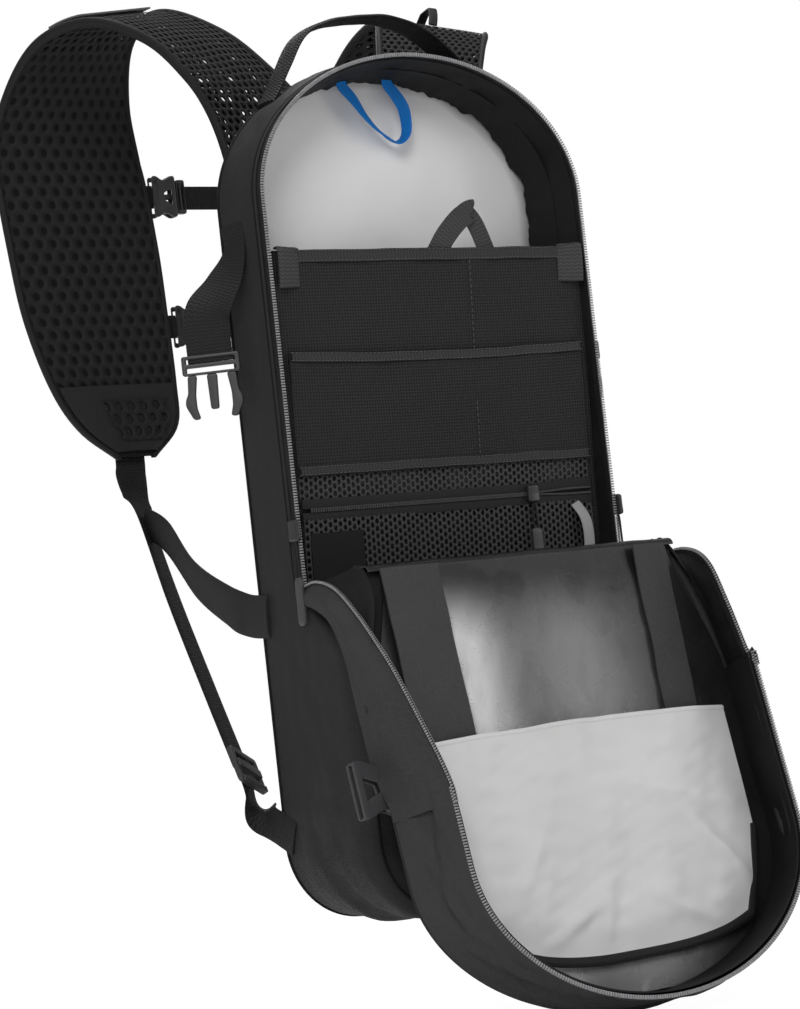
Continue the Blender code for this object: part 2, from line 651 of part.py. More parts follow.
def male_buckle(width, length):
    """A side-release plug: a webbing bar, a centre guide and two prongs, pointing along -z."""
    half = width / 2.0
    root = -0.30 * length
    plug = box(-half, half, -PLUG_THICK / 2.0, PLUG_THICK / 2.0, root, 0.0)
    slot = box(-half + 0.003, half - 0.003, -1.0, 1.0, root * 0.72, root * 0.36)
    plug = combine(plug, [slot], "DIFFERENCE")
    guide = box(-0.10 * width, 0.10 * width, -0.0018, 0.0018, -0.86 * length, root + 0.001)
    prongs = []
    for side in (-1.0, 1.0):
        outline = [(side * 0.30 * width, root + 0.001), (side * 0.42 * width, root + 0.001),
                   (side * 0.42 * width, -0.72 * length), (side * 0.47 * width, -0.74 * length),
                   (side * 0.34 * width, -length), (side * 0.24 * width, -0.98 * length)]
        prongs.append(prism(outline, -0.0017, 0.0017))
    return combine(plug, [guide] + prongs, "UNION")


def female_buckle(width, length, socket):
    """A receptacle: a box whose socket opens at z = 0 and whose body runs down to -length."""
    half = width / 2.0
    thick = BUCKLE_THICK / 2.0
    case = box(-half - 0.002, half + 0.002, -thick, thick, -length, 0.0)
    room = box(-half * 0.97, half * 0.97, -thick + 0.0012, thick - 0.0012, -socket, 1.0)
    return combine(case, [room], "DIFFERENCE")


def turned(mesh, x_to, y_to, z_to, place):
    """The mesh with its axes turned onto the given directions and moved to a place."""
    frame = Matrix((Vector(x_to), Vector(y_to), Vector(z_to))).transposed().to_4x4()
    frame.translation = Vector(place)
    bmesh.ops.transform(mesh, matrix=frame, verts=mesh.verts)
    return mesh


def build_compression(pack, hinge):
    """A compression strap and its hanging plug on each side, and a receptacle on the panel."""
    wall = -HALF_WIDTH - GAP - WEB_THICK / 2.0
    half = WIDE_WEB / 2.0
    end = Vector((-HALF_WIDTH - 0.022, -0.014, 0.072))
    across = Vector((0.8, -0.6, 0.0))
    for side, name in ((-1.0, "left"), (1.0, "right")):
        strap = [((wall, -0.016, 0.142), (0, -1, 0), half),
                 ((wall, -0.016, 0.128), (0, -1, 0), half),
                 ((-HALF_WIDTH - 0.0085, -0.015, 0.112), (0.45, -0.9, 0), half),
                 ((-HALF_WIDTH - 0.020, -0.014, 0.096), across, half),
                 (end + Vector((0.0, 0.0, 0.014)), across, half),
                 (end, across, half)]
        add_part("compression_webbing_" + name, mirrored(ribbon(strap, WEB_THICK), side), pack,
                 BLACK, 0.8)
        top = end + Vector((0.0, 0.0, -PLUG_SWING_GAP))
        plug = turned(male_buckle(WIDE_WEB + 0.007, BUCKLE_LENGTH), across, (0.6, 0.8, 0.0),
                      (0, 0, 1), top)
        place = Vector((side * -top.x, top.y, top.z - PLUG_THICK / 2.0))
        add_part("compression_plug_" + name, mirrored(plug, side), pack, BUCKLE_GREY, 0.4,
                 origin=place)

        case_y = FRONT_Y - GAP - BUCKLE_THICK / 2.0
        mid_z = FOLD_Z + 0.135
        socket = turned(female_buckle(WIDE_WEB + 0.003, 0.026, 0.020), (0, 0, -1), (0, 1, 0),
                        (-1, 0, 0), (-HALF_WIDTH - PANEL_FLARE - 0.013, case_y, mid_z))
        add_part("compression_socket_" + name, mirrored(socket, side), hinge, BUCKLE_GREY, 0.45)


def build_sternum(pack):
    """Two sternum straps, each buckled: an anchor and socket on the left, plug and web right."""
    y = LOBE_Y + STRAP_THICK / 2.0 + GAP + WEB_THICK / 2.0
    half = SMALL_WEB / 2.0
    for name, z in (("upper", UPPER_STERNUM_Z), ("lower", LOWER_STERNUM_Z)):
        socket_end = -0.052 if name == "upper" else -0.045
        length = STERNUM_SOCKET_LENGTH
        anchor = ribbon([((socket_end - 0.030, y, z), (0, 0, 1), half),
                         ((socket_end - GAP, y, z), (0, 0, 1), half)], WEB_THICK)
        anchor = add_part(name + "_sternum_anchor", anchor, pack, BLACK, 0.8,
                          origin=(socket_end, y, z))
        socket = turned(female_buckle(STERNUM_BUCKLE_WIDTH, length, length - 0.002),
                        (0, 0, -1), (0, 1, 0), (1, 0, 0), (socket_end + length, y, z))
        add_part(name + "_sternum_socket", socket, anchor, BUCKLE_GREY, 0.45)
        plug_top = socket_end + length + 0.0075
        plug = turned(male_buckle(STERNUM_BUCKLE_WIDTH - 0.002, 0.021), (0, 0, -1), (0, -1, 0),
                      (1, 0, 0), (plug_top, y, z))
        add_part(name + "_sternum_plug", plug, anchor, BUCKLE_GREY, 0.45,
                 origin=(plug_top, y, z))
        behind = y + PLUG_THICK / 2.0 + GAP + WEB_THICK / 2.0
        web = ribbon([((plug_top - 0.006, behind, z), (0, 0, 1), half),
                      ((0.015, behind, z), (0, 0, 1), half),
                      ((0.040, y, z), (0, 0, 1), half),
                      ((0.060, y, z), (0, 0, 1), half),
                      ((0.084, y, z), (0, 0, 1), half)], WEB_THICK)
        add_part(name + "_sternum_webbing", web, anchor, BLACK, 0.8)


def main():
    clear_scene()
    hook = Vector((0.0, HANDLE_Y, TOP_Z + HANDLE_RISE))
    pack = bpy.data.objects.new("pack", None)
    bpy.context.scene.collection.objects.link(pack)
    pack.location = -hook
    hinge = add_empty("front_panel_hinge", (0.0, FRONT_Y, FOLD_Z), pack, OPEN_ANGLE)
    build_body(pack)
    build_front_panel(hinge)
    build_organiser(pack)
    build_main_zip_sliders(pack)
    build_loops(pack)
    build_shoulder_straps(pack)
    build_lower_straps(pack)
    build_compression(pack, hinge)
    build_sternum(pack)


main()
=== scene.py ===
"""Finishes for a hydration pack that hangs by its grab handle with its clamshell front open.

The file is laid out as an add-on and run as a script. Shapes are worked out in pack
coordinates: x to the right, y from the zip side to the wearer's back, z up from the middle of
the back panel. SHIFT moves them into the frame that the solids use.
"""

import json
import math

import bmesh
import bpy
import numpy as np
from bpy.props import FloatProperty, FloatVectorProperty, PointerProperty
from mathutils import Matrix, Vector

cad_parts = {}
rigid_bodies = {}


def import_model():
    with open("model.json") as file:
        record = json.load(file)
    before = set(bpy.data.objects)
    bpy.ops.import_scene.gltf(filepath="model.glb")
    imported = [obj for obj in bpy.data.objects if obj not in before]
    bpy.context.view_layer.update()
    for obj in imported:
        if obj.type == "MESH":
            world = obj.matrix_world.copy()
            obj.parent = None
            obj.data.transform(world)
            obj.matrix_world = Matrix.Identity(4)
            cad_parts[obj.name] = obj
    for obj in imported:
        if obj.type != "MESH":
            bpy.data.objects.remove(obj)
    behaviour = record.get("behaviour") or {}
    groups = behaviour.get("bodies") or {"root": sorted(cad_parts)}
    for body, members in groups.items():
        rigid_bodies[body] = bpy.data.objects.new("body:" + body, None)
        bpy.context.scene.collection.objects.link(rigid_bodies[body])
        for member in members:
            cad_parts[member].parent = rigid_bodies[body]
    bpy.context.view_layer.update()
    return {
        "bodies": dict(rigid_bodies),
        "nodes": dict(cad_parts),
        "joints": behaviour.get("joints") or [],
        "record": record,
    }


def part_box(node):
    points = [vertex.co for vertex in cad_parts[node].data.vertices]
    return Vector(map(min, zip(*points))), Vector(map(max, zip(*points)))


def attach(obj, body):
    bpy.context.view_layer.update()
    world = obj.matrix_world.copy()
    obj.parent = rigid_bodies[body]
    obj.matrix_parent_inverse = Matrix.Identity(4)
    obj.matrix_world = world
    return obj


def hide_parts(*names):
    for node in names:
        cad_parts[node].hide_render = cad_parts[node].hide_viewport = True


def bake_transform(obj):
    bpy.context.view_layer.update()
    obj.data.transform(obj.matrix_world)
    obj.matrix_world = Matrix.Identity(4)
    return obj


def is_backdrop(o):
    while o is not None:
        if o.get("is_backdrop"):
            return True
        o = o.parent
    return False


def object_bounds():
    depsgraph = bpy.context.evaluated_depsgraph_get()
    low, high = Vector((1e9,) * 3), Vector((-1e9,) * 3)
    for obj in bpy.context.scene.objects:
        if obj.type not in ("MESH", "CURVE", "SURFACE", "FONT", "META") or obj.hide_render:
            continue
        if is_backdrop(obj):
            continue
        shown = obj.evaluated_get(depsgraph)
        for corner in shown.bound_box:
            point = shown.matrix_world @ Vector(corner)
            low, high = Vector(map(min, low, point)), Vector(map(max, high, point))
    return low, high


bl_info = {
    "name": "Hydration Pack Finishes",
    "version": (1, 0, 0),
    "blender": (4, 5, 0),
    "location": "View3D > Sidebar > Pack",
    "description": "Cloth, mesh, webbing, zips and buckles of an open hydration pack",
    "category": "Object",
}

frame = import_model()
BODY_LOW, BODY_HIGH = (np.array(corner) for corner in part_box("body_shell"))

# The outline of the pack, metres, as in the solids
BASE_Z = -0.245
TOP_Z = 0.233
SPRING_Z = 0.151
BASE_RADIUS = 0.045
HALF_WIDTH = float(BODY_HIGH[0])
FRONT_Y = -0.095
FOLD_Z = -0.038
# The depths of the main zip's two edges, the body's and the closed panel's
BODY_RIM_Y = -0.0502
PANEL_RIM_Y = -0.0546
OPEN_ANGLE = math.radians(166.0)
# The cloth that the open fold takes up lowers its crest by this much on either side of the axis
FOLD_SLACK = 0.0225
POUCH_TOP_Z = FOLD_Z - FOLD_SLACK
PANEL_START_Z = FOLD_Z + FOLD_SLACK
SHIFT = np.array([0.0, BODY_HIGH[1], BODY_LOW[2] - BASE_Z])

# The fold's side strips, left (-1) and right (1), end where the panel's walls start in z, as
# measured with the panel closed, and run past that height by the lap
WALL_START_Z = {-1.0: FOLD_Z + 0.148, 1.0: FOLD_Z + 0.098}
FOLD_LAP = 0.007
# The share of their width that the panel's face and lining lose at the fold
FOLD_DRAW = 0.16
# The side strips are cut at this depth: behind it they ride on the body, ahead of it on the panel
SPLIT_Y = -0.103
# How far the fold's zip teeth stand off the middle of their tape
TEETH_PROUD = 0.0016

# Thickness of the outer cloth, of most inner layers, of zip tape and of strap webbing
CLOTH = 0.0014
LINING = 0.0010
TAPE = 0.0008
WEB = 0.0015

# The plane of the vest straps' lobes, and that of the webbing that lies on them
LOBE_Y = 0.172
WEB_Y = LOBE_Y + 0.0035 + 0.0011
# The left lower webbing runs from its fork to the ladder lock, tilted; the right one mirrors it
FORK = np.array([-0.094, 0.150, -0.006])
LOCK = np.array([-0.1125, 0.030, -0.160])
LOCK_TILT = (0.75, 0.66, 0.0)
# Each sternum strap: its name, its height and where its anchor ends in x
STERNUM = (("upper", 0.196, -0.052), ("lower", 0.114, -0.045))
# From an anchor's end to its plug's root
PLUG_REACH = 0.0235

# Organiser, as in the solids
ORG_HALF = 0.1047
ORG_TOP_Z = 0.122
ORG_BASE_Z = -0.080
ORG_POCKET_TOP_Z = 0.066
ORG_POCKET_BASE_Z = -0.002
ORG_ZIP_Z = -0.0205
ORG_ZIP_HALF = 0.0985


# ---------------------------------------------------------------- surfaces

def smoothstep(low, high, value):
    """0 below low, 1 above high and a cubic ease between them."""
    share = np.clip((value - low) / (high - low), 0.0, 1.0)
    return share * share * (3.0 - 2.0 * share)


def unit(vectors):
    """Each vector over its own length."""
    return vectors / np.maximum(np.linalg.norm(vectors, axis=-1, keepdims=True), 1e-12)


def points(x, y, z):
    """Three numbers or arrays of numbers as one array of places."""
    return np.stack(np.broadcast_arrays(x, y, z), axis=-1)


def travel(path):
    """How far along a polyline each of its points lies."""
    return np.concatenate([[0.0], np.cumsum(np.linalg.norm(np.diff(path, axis=0), axis=1))])


def along(path, closed=False):
    """The unit direction of a path at each of its points."""
    if closed:
        return unit(np.roll(path, -1, axis=0) - np.roll(path, 1, axis=0))
    return unit(np.gradient(path, axis=0))


def square_to(side, tangent):
    """Unit directions made square to a path: each less its share along the tangent."""
    side = np.broadcast_to(np.asarray(side, float), tangent.shape)
    return unit(side - np.sum(side * tangent, axis=1, keepdims=True) * tangent)


def even(keys, count, closed=False, place=3):
    """Rows at equal steps of length along a polyline, whose first columns are the place."""
    path = np.asarray(keys, float)
    if closed:
        path = np.vstack([path, path[:1]])
    far = travel(path[:, :place])
    wanted = np.linspace(0.0, far[-1], count + int(closed))[:count]
    return np.stack([np.interp(wanted, far, column) for column in path.T], axis=1)


def curve(keys, count):
    """A Catmull-Rom curve through keys: cubic blends of four neighbours, evenly respaced."""
    keys = np.asarray(keys, float)
    keys = np.vstack([2 * keys[0] - keys[1], keys, 2 * keys[-1] - keys[-2]])
    spans = len(keys) - 3
    place = np.linspace(0.0, spans, 24 * spans + 1)
    i = np.minimum(place.astype(int), spans - 1)
    f = (place - i)[:, None]
    a, b, c, d = keys[i], keys[i + 1], keys[i + 2], keys[i + 3]
    dense = 0.5 * (2 * b + (c - a) * f + (2 * a - 5 * b + 4 * c - d) * f ** 2
                   + (3 * b - a - 3 * c + d) * f ** 3)
    return even(dense, count)


def ripple(places, length, seed):
    """Soft waves about -1 to 1: twelve sines in fixed directions, in three falling wavelengths."""
    draw = np.random.default_rng(seed)
    total = np.zeros(places.shape[:-1])
    for octave in range(3):
        for _ in range(4):
            direction = unit(draw.normal(size=3))
            turn = 2.0 * math.pi * 1.8 ** octave / length
            total += 0.55 ** octave * np.sin(places @ direction * turn + draw.uniform(0.0, 6.3))
    return total / 4.6


def normals(P, wrap=False):
    """The cross product of a grid's two directions."""
    first = np.gradient(P, axis=0)
    if wrap:
        first = np.roll(P, -1, axis=0) - np.roll(P, 1, axis=0)
    return unit(np.cross(first, np.gradient(P, axis=1)))


def flat_lay(P, wrap=False):
    """Each point's place on the flat cloth: lengths along the grid's middle row and column."""
    m, n = P.shape[:2]
    column = P[:, n // 2]
    if wrap:
        column = np.vstack([column, column[:1]])
    u = travel(P[m // 2])
    return np.stack(np.meshgrid(u - u[-1] / 2.0, travel(column)), axis=-1)


def quads(index, lay):
    """Quads over a grid of vertex numbers, with the flat place of each corner."""
    faces = np.stack([index[:-1, :-1], index[1:, :-1], index[1:, 1:], index[:-1, 1:]], axis=-1)
    corners = np.stack([lay[:-1, :-1], lay[1:, :-1], lay[1:, 1:], lay[:-1, 1:]], axis=-2)
    return faces.reshape(-1, 4), corners.reshape(-1, 2)


def grid(P, wrap=False, lay=None, flip=False):
    """A surface over an (m, n, 3) array of points, joined round in its first direction by wrap."""
    m, n = P.shape[:2]
    lay = flat_lay(P, wrap) if lay is None else lay
    index = np.arange(m * n).reshape(m, n)
    if wrap:
        index = np.vstack([index, index[:1]])
    faces, corners = quads(index, lay)
    if flip:
        faces = faces[:, ::-1]
        corners = corners.reshape(-1, 4, 2)[:, ::-1].reshape(-1, 2)
    return P.reshape(-1, 3), faces, corners


def slab(P, thickness, wrap=False, lay=None):
    """A closed sheet: the grid plus and minus half a thickness along its normal, edges joined."""
    m, n = P.shape[:2]
    lay = flat_lay(P, wrap) if lay is None else lay
    offset = normals(P, wrap) * (np.broadcast_to(np.asarray(thickness, float), (m, n))[..., None]
                                 / 2.0)
    ring = np.concatenate([P + offset, (P - offset)[:, ::-1]], axis=1)
    index = np.arange(m * 2 * n).reshape(m, 2 * n)
    if wrap:
        index = np.vstack([index, index[:1]])
    index = np.concatenate([index, index[:, :1]], axis=1)
    both = np.concatenate([lay, lay[:, ::-1], lay[:, :1]], axis=1)
    faces, corners = quads(index, both)
    if not wrap:
        for row, forward in ((0, True), (m - 1, False)):
            front = index[row, :n]
            back = index[row, n:2 * n][::-1]
            pair = np.stack([front, back] if not forward else [back, front])
            more, more_corners = quads(pair, np.stack([lay[row], lay[row]]))
            faces = np.vstack([faces, more])
            corners = np.vstack([corners, more_corners])
    return ring.reshape(-1, 3), faces, corners


def band(path, side, half, thickness, across=9, crown=0.0):
    """Webbing or tape: a slab across a path, thinner at its selvedges."""
    path = np.asarray(path, float)
    tangent = along(path)
    side = square_to(side, tangent)
    u = np.linspace(-1.0, 1.0, across)
    half = np.broadcast_to(np.asarray(half, float), (len(path),))
    P = path[:, None] + side[:, None] * (half[:, None] * u)[..., None]
    up = np.cross(tangent, side)
    P = P + up[:, None] * (crown * (1.0 - u ** 2))[None, :, None]
    return slab(P, thickness * (1.0 - 0.7 * u ** 8)[None, :])


# How thick the point at a tube's end is, as a share of the tube
TIP = 0.02


def tube(path, width, height=None, side=(0.0, 0.0, 1.0), around=8, closed=False):
    """A cord or binding: an oval carried along a path, drawn in to a point at each end."""
    path = np.asarray(path, float)
    height = width if height is None else height
    if not closed:
        path = np.vstack([path[:1], path, path[-1:]])
        step = unit(path[2:3] - path[1:2]) * width * 0.5
        path[0] -= step[0]
        path[-1] += (unit(path[-2:-1] - path[-3:-2]) * width * 0.5)[0]
        if np.ndim(side) > 1:
            side = np.vstack([side[:1], side, side[-1:]])
    tangent = along(path, closed)
    side = square_to(side, tangent)
    up = np.cross(tangent, side)
    size = np.ones(len(path))
    if not closed:
        size[[0, -1]] = TIP
    angle = np.linspace(0.0, 2.0 * math.pi, around, endpoint=False)
    P = (path[:, None] + side[:, None] * (np.cos(angle) * width / 2.0)[None, :, None]
         * size[:, None, None] + up[:, None] * (np.sin(angle) * height / 2.0)[None, :, None]
         * size[:, None, None])
    P = np.swapaxes(P, 0, 1)
    far = travel(path)
    if closed:
        P = np.concatenate([P, P[:, :1]], axis=1)
        far = np.append(far, far[-1] + np.linalg.norm(path[0] - path[-1]))
    turn = np.linspace(0.0, 3.0 * width, around + 1)
    lay = np.stack(np.meshgrid(turn, far, indexing="ij"), axis=-1)
    return grid(P, wrap=True, lay=lay)


def blocks(places, ahead, across, out, size):
    """Small chamfered blocks, one at each place, from one template of twelve corners."""
    length, width, height = size
    template = []
    for level, shrink in ((0.0, 1.0), (0.65, 1.0), (1.0, 0.6)):
        for a, b in ((-1, -1), (1, -1), (1, 1), (-1, 1)):
            template.append((a * length * shrink / 2.0, b * width * shrink / 2.0, level * height))
    template = np.array(template)
    P = (places[:, None] + ahead[:, None] * template[None, :, :1]
         + across[:, None] * template[None, :, 1:2] + out[:, None] * template[None, :, 2:])
    faces = [(3, 2, 1, 0), (8, 9, 10, 11)]
    for low in (0, 4):
        faces += [(low + k, low + (k + 1) % 4, low + 4 + (k + 1) % 4, low + 4 + k)
                  for k in range(4)]
    faces = np.array(faces)
    every = (faces[None] + 12 * np.arange(len(places))[:, None, None]).reshape(-1, 4)
    flat = np.repeat(np.cumsum(np.full(len(places), length * 2.0)), len(faces) * 4)
    return P.reshape(-1, 3), every, np.stack([flat * 0.0, flat], axis=1)


def stitches(path, out, pitch=0.0034, length=0.0024, width=0.0006):
    """A row of sewn stitches: spindles of four sides laid end to end along a path."""
    middles = even(path, max(2, int(travel(path)[-1] / pitch)))
    ahead = along(middles)
    out = np.broadcast_to(np.asarray(out, float), (len(path), 3))
    out = unit(even(np.hstack([path, out]), len(middles))[:, 3:])
    return blocks(middles, ahead, unit(np.cross(out, ahead)), out, (length, width, width * 0.7))


def tooth(sizes, width=0.0021, height=0.0013):
    """A zip tooth's length, width and height: it fills 0.62 of its pitch."""
    return sizes.tooth_pitch * 0.62, width, height


def joined(*surfaces):
    """Several surfaces as one mesh."""
    starts = np.cumsum([0] + [len(P) for P, _, _ in surfaces])
    faces = [F + start for (_, F, _), start in zip(surfaces, starts)]
    return (np.vstack([P for P, _, _ in surfaces]), np.vstack(faces),
            np.vstack([C for _, _, C in surfaces]))


def opened(P):
    """From the front panel's closed place to its open one: a turn about the fold."""
    P = np.asarray(P, float)
    ahead = P[..., 1] - FRONT_Y
    rise = P[..., 2] - FOLD_Z
    c, s = math.cos(OPEN_ANGLE), math.sin(OPEN_ANGLE)
    return points(P[..., 0], FRONT_Y + ahead * c - rise * s, FOLD_Z + ahead * s + rise * c)


def fold_taper(z):
    """A factor on x: the panel's face and lining draw in over the last 75 mm to the fold."""
    return 1.0 - FOLD_DRAW * (1.0 - smoothstep(PANEL_START_Z, PANEL_START_Z + 0.075, z))


def opened_out(vectors):
    """Directions turned with the front panel."""
    return opened(np.asarray(vectors, float) + [0.0, FRONT_Y, FOLD_Z]) - [0.0, FRONT_Y, FOLD_Z]


def link(name, data):
    """A new object for some data, linked to the scene."""
    obj = bpy.data.objects.new(name, data)
    bpy.context.scene.collection.objects.link(obj)
    return obj


def axes_at(right, up, back, place):
    """The matrix that carries x, y and z to three directions, at a place."""
    axes = np.eye(4)
    axes[:3, 0], axes[:3, 1], axes[:3, 2], axes[:3, 3] = right, up, back, place
    return Matrix(axes.tolist())


def put_in_scene(name, data, material, body, stands_for, sharp):
    """A mesh as an object, smooth but for its sharp edges, riding on its body."""
    data.shade_smooth()
    if sharp:
        data.set_sharp_from_angle(angle=math.radians(sharp))
    data.materials.append(finish(material))
    obj = link(name, data)
    if body:
        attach(obj, body)
    if stands_for:
        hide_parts(*stands_for)
    return obj


def add_piece(name, surface, material, body, stands_for=(), weld=False, sharp=50.0):
    """A finished object: the surface moved by SHIFT, its flat lay kept, riding on its body."""
    places, faces, corners = surface
    places = np.asarray(places, float) + SHIFT
    data = bpy.data.meshes.new(name)
    data.vertices.add(len(places))
    data.vertices.foreach_set("co", places.ravel())
    data.loops.add(faces.size)
    data.loops.foreach_set("vertex_index", np.ascontiguousarray(faces).ravel())
    data.polygons.add(len(faces))
    data.polygons.foreach_set("loop_start", np.arange(0, faces.size, 4))
    data.polygons.foreach_set("loop_total", np.full(len(faces), 4))
    data.update(calc_edges=True)
    data.uv_layers.new(name="lay").data.foreach_set("uv", np.ascontiguousarray(corners).ravel())
    data.validate()
    if weld:
        mesh = bmesh.new()
        mesh.from_mesh(data)
        bmesh.ops.remove_doubles(mesh, verts=mesh.verts, dist=2e-5)
        bmesh.ops.dissolve_degenerate(mesh, edges=mesh.edges, dist=1e-6)
        mesh.to_mesh(data)
        mesh.free()
    return put_in_scene(name, data, material, body, stands_for, sharp)


# ---------------------------------------------------------------- materials

class Wire:
    """A node's output; arithmetic on it adds Math nodes."""

    def __init__(self, finish, socket):
        self.finish = finish
        self.socket = socket

    def maths(self, operation, *others):
        return self.finish.node("ShaderNodeMath", {"operation": operation},
                                dict(enumerate((self,) + others)))

    def __add__(self, other):
        return self.maths("ADD", other)

    def __sub__(self, other):
        return self.maths("SUBTRACT", other)

    def __rsub__(self, other):
        return self.maths("MULTIPLY", -1.0) + other

    def __mul__(self, other):
        return self.maths("MULTIPLY", other)

    def __truediv__(self, other):
        return self.maths("DIVIDE", other)

    def __pow__(self, other):
        return self.maths("POWER", other)

    __radd__ = __add__
    __rmul__ = __mul__

    def sine(self, pitch):
        """A wave of a given pitch, between -1 and 1."""
        return (self * (2.0 * math.pi / pitch)).maths("SINE")

    def part(self):
        """The fraction left over from the whole number below."""
        return self.maths("FRACT")

    def over(self, low, high):
        """0 below low and 1 above high, with a straight slope between."""
        return ((self - low) / (high - low)).maths("MINIMUM", 1.0).maths("MAXIMUM", 0.0)


class Finish:
    """One procedural material and the nodes that feed it."""

    def __init__(self, name):
        self.material = bpy.data.materials.new(name)
        self.material.use_nodes = True
        self.tree = self.material.node_tree
        self.tree.nodes.clear()
        self.shader = self.tree.nodes.new("ShaderNodeBsdfPrincipled")
        output = self.tree.nodes.new("ShaderNodeOutputMaterial")
        self.tree.links.new(self.shader.outputs[0], output.inputs[0])

    def node(self, kind, settings=None, values=None, out=0):
        """A node of a given type: its settings first, then its sockets' values or links."""
        made = self.tree.nodes.new(kind)
        for key, value in (settings or {}).items():
            if key == "stops":
                self.set_stops(made.color_ramp, value)
            else:
                setattr(made, key, value)
        for key, value in (values or {}).items():
            self.put(made.inputs[key], value)
        return Wire(self, made.outputs[out])

    def set_stops(self, ramp, stops):
        while len(ramp.elements) < len(stops):
            ramp.elements.new(0.5)
        for element, (position, colour) in zip(ramp.elements, stops):
            element.position = position
            element.color = colour

    def put(self, socket, value):
        if isinstance(value, Wire):
            self.tree.links.new(value.socket, socket)
        else:
            socket.default_value = value

    def feed(self, **values):
        """Values or wires for the shader's own sockets; a name's underscores are spaces."""
        for key, value in values.items():
            self.put(self.shader.inputs[key.replace("_", " ")], value)
        return self.material

    def lay(self):
        """The place on the flat cloth, in metres: across, along."""
        flat = self.node("ShaderNodeUVMap", {"uv_map": "lay"})
        split = self.node("ShaderNodeSeparateXYZ", values={0: flat})
        return split, Wire(self, split.socket.node.outputs[1])

    def noise(self, scale, detail=2.0, roughness=0.5):
        """Soft patches over the object's own coordinates."""
        return self.node("ShaderNodeTexNoise", values={
            "Vector": self.node("ShaderNodeTexCoord", out="Object"), "Scale": scale,
            "Detail": detail, "Roughness": roughness})

    def mix(self, share, first, second):
        """A colour between two colours."""
        return self.node("ShaderNodeMix", {"data_type": "RGBA"},
                         {0: share, 6: first, 7: second}, out=2)

    def bump(self, height, distance, under=None):
        """A normal from a height, on top of the one under it."""
        values = {"Strength": 1.0, "Distance": distance, "Height": height}
        if under:
            values["Normal"] = under
        return self.node("ShaderNodeBump", values=values)


def shade(colour, factor):
    """A colour made lighter or darker."""
    return tuple(min(1.0, channel * factor) for channel in colour[:3]) + (1.0,)


def cloth(name, colour, thread=0.0011, roughness=0.58, weave=0.00012, mottle=0.25, grain=0.0003):
    """Plain woven cloth: crossed threads along the flat lay, soft mottling and fine grain."""
    f = Finish(name)
    u, v = f.lay()
    threads = u.sine(thread) * v.sine(thread)
    patches = f.noise(14.0, 3.0)
    fine = f.noise(900.0, 2.0)
    base = f.mix(patches, shade(colour, 1.0 - mottle), shade(colour, 1.0 + mottle))
    base = f.mix(fine.over(0.3, 0.75), base, shade(colour, 1.35))
    soft = f.bump(f.noise(60.0, 3.0), grain)
    return f.feed(Base_Color=base, Roughness=patches * 0.14 + (roughness - 0.07),
                  Normal=f.bump(threads, weave, soft), Specular_IOR_Level=0.22)


def webbing(name, colour, rib=0.0016, roughness=0.62, depth=0.00035):
    """Woven strap: ribs across it, yarns along it, with a painted highlight where the ribs stand
    and painted shade between them.
    """
    f = Finish(name)
    u, v = f.lay()
    slant = v + u.sine(0.0036) * 0.00035
    ribs = slant.sine(rib) * 0.5 + 0.5
    yarns = u.sine(0.0011) * 0.5 + 0.5
    height = ribs * 0.7 + yarns * 0.3
    worn = f.noise(22.0, 2.0)
    # Painted light on the weave: the relief's height makes the raised ribs and yarns lighter and
    # the hollows darker
    base = f.mix(height, shade(colour, 0.45), shade(colour, 1.3))
    base = f.mix(worn * 0.35, base, shade(colour, 1.25))
    return f.feed(Base_Color=base, Roughness=height * -0.12 + (roughness + 0.06),
                  Normal=f.bump(height, depth), Specular_IOR_Level=0.25)


def moulded(name, colour, roughness=0.42):
    """Moulded plastic: fine texture, a soft sheen and a few dull patches."""
    f = Finish(name)
    dull = f.noise(35.0, 3.0)
    base = f.mix(dull, shade(colour, 0.85), shade(colour, 1.15))
    return f.feed(Base_Color=base, Roughness=dull * 0.2 + (roughness - 0.1),
                  Normal=f.bump(f.noise(2600.0, 1.0), 0.00004), Specular_IOR_Level=0.5)


def zip_teeth(name, colour):
    """Zip teeth: pale plastic, its tone varying at random."""
    f = Finish(name)
    base = f.mix(f.noise(420.0, 1.0), shade(colour, 0.6), shade(colour, 1.15))
    return f.feed(Base_Color=base, Roughness=0.35)


def coated(name, bright, dark=(0.010, 0.010, 0.011, 1.0)):
    """Shiny coated lining: a painted reflection, silver where the lit mask is high, and painted
    shade, near black, towards the fold and the sides.
    """
    f = Finish(name)
    u, v = f.lay()
    crumple = f.noise(26.0, 5.0, roughness=0.62)
    clouds = f.noise(9.0, 2.0)
    lit = f.node("ShaderNodeAttribute", {"attribute_name": "lit"}, out="Fac")
    # Painted reflection: the lit mask, broken up by soft clouds, mixes from the near-black painted
    # shade to the silver
    share = (lit + (clouds - 0.5) * 0.70 * (lit + 0.12)).over(0.02, 0.95)
    base = f.mix(share, dark, bright)
    return f.feed(Base_Color=base, Metallic=share * 0.6 + 0.1,
                  Roughness=crumple * 0.20 + 0.18, Coat_Weight=0.1,
                  Normal=f.bump(u.sine(0.0009) * v.sine(0.0009), 0.00004,
                                f.bump(crumple, 0.0018)))


def plain_lining(name, colour):
    """Pale coated lining: nearly even, with painted shade where the edge mask is high, and soft
    dents.
    """
    f = Finish(name)
    u, v = f.lay()
    edge = f.node("ShaderNodeAttribute", {"attribute_name": "edge"}, out="Fac")
    dent_noise = f.noise(30.0, 3.0)
    # Painted shade: the edge mask, broken up by noise, darkens the lining
    edge_shade = (edge + (dent_noise - 0.5) * 0.5).over(0.35, 1.0) * 0.8
    base = f.mix(edge_shade, colour, shade(colour, 0.28))
    return f.feed(Base_Color=base, Roughness=dent_noise * 0.15 + 0.5,
                  Normal=f.bump(u.sine(0.0008) * v.sine(0.0008), 0.00003,
                                f.bump(dent_noise, 0.0004)))


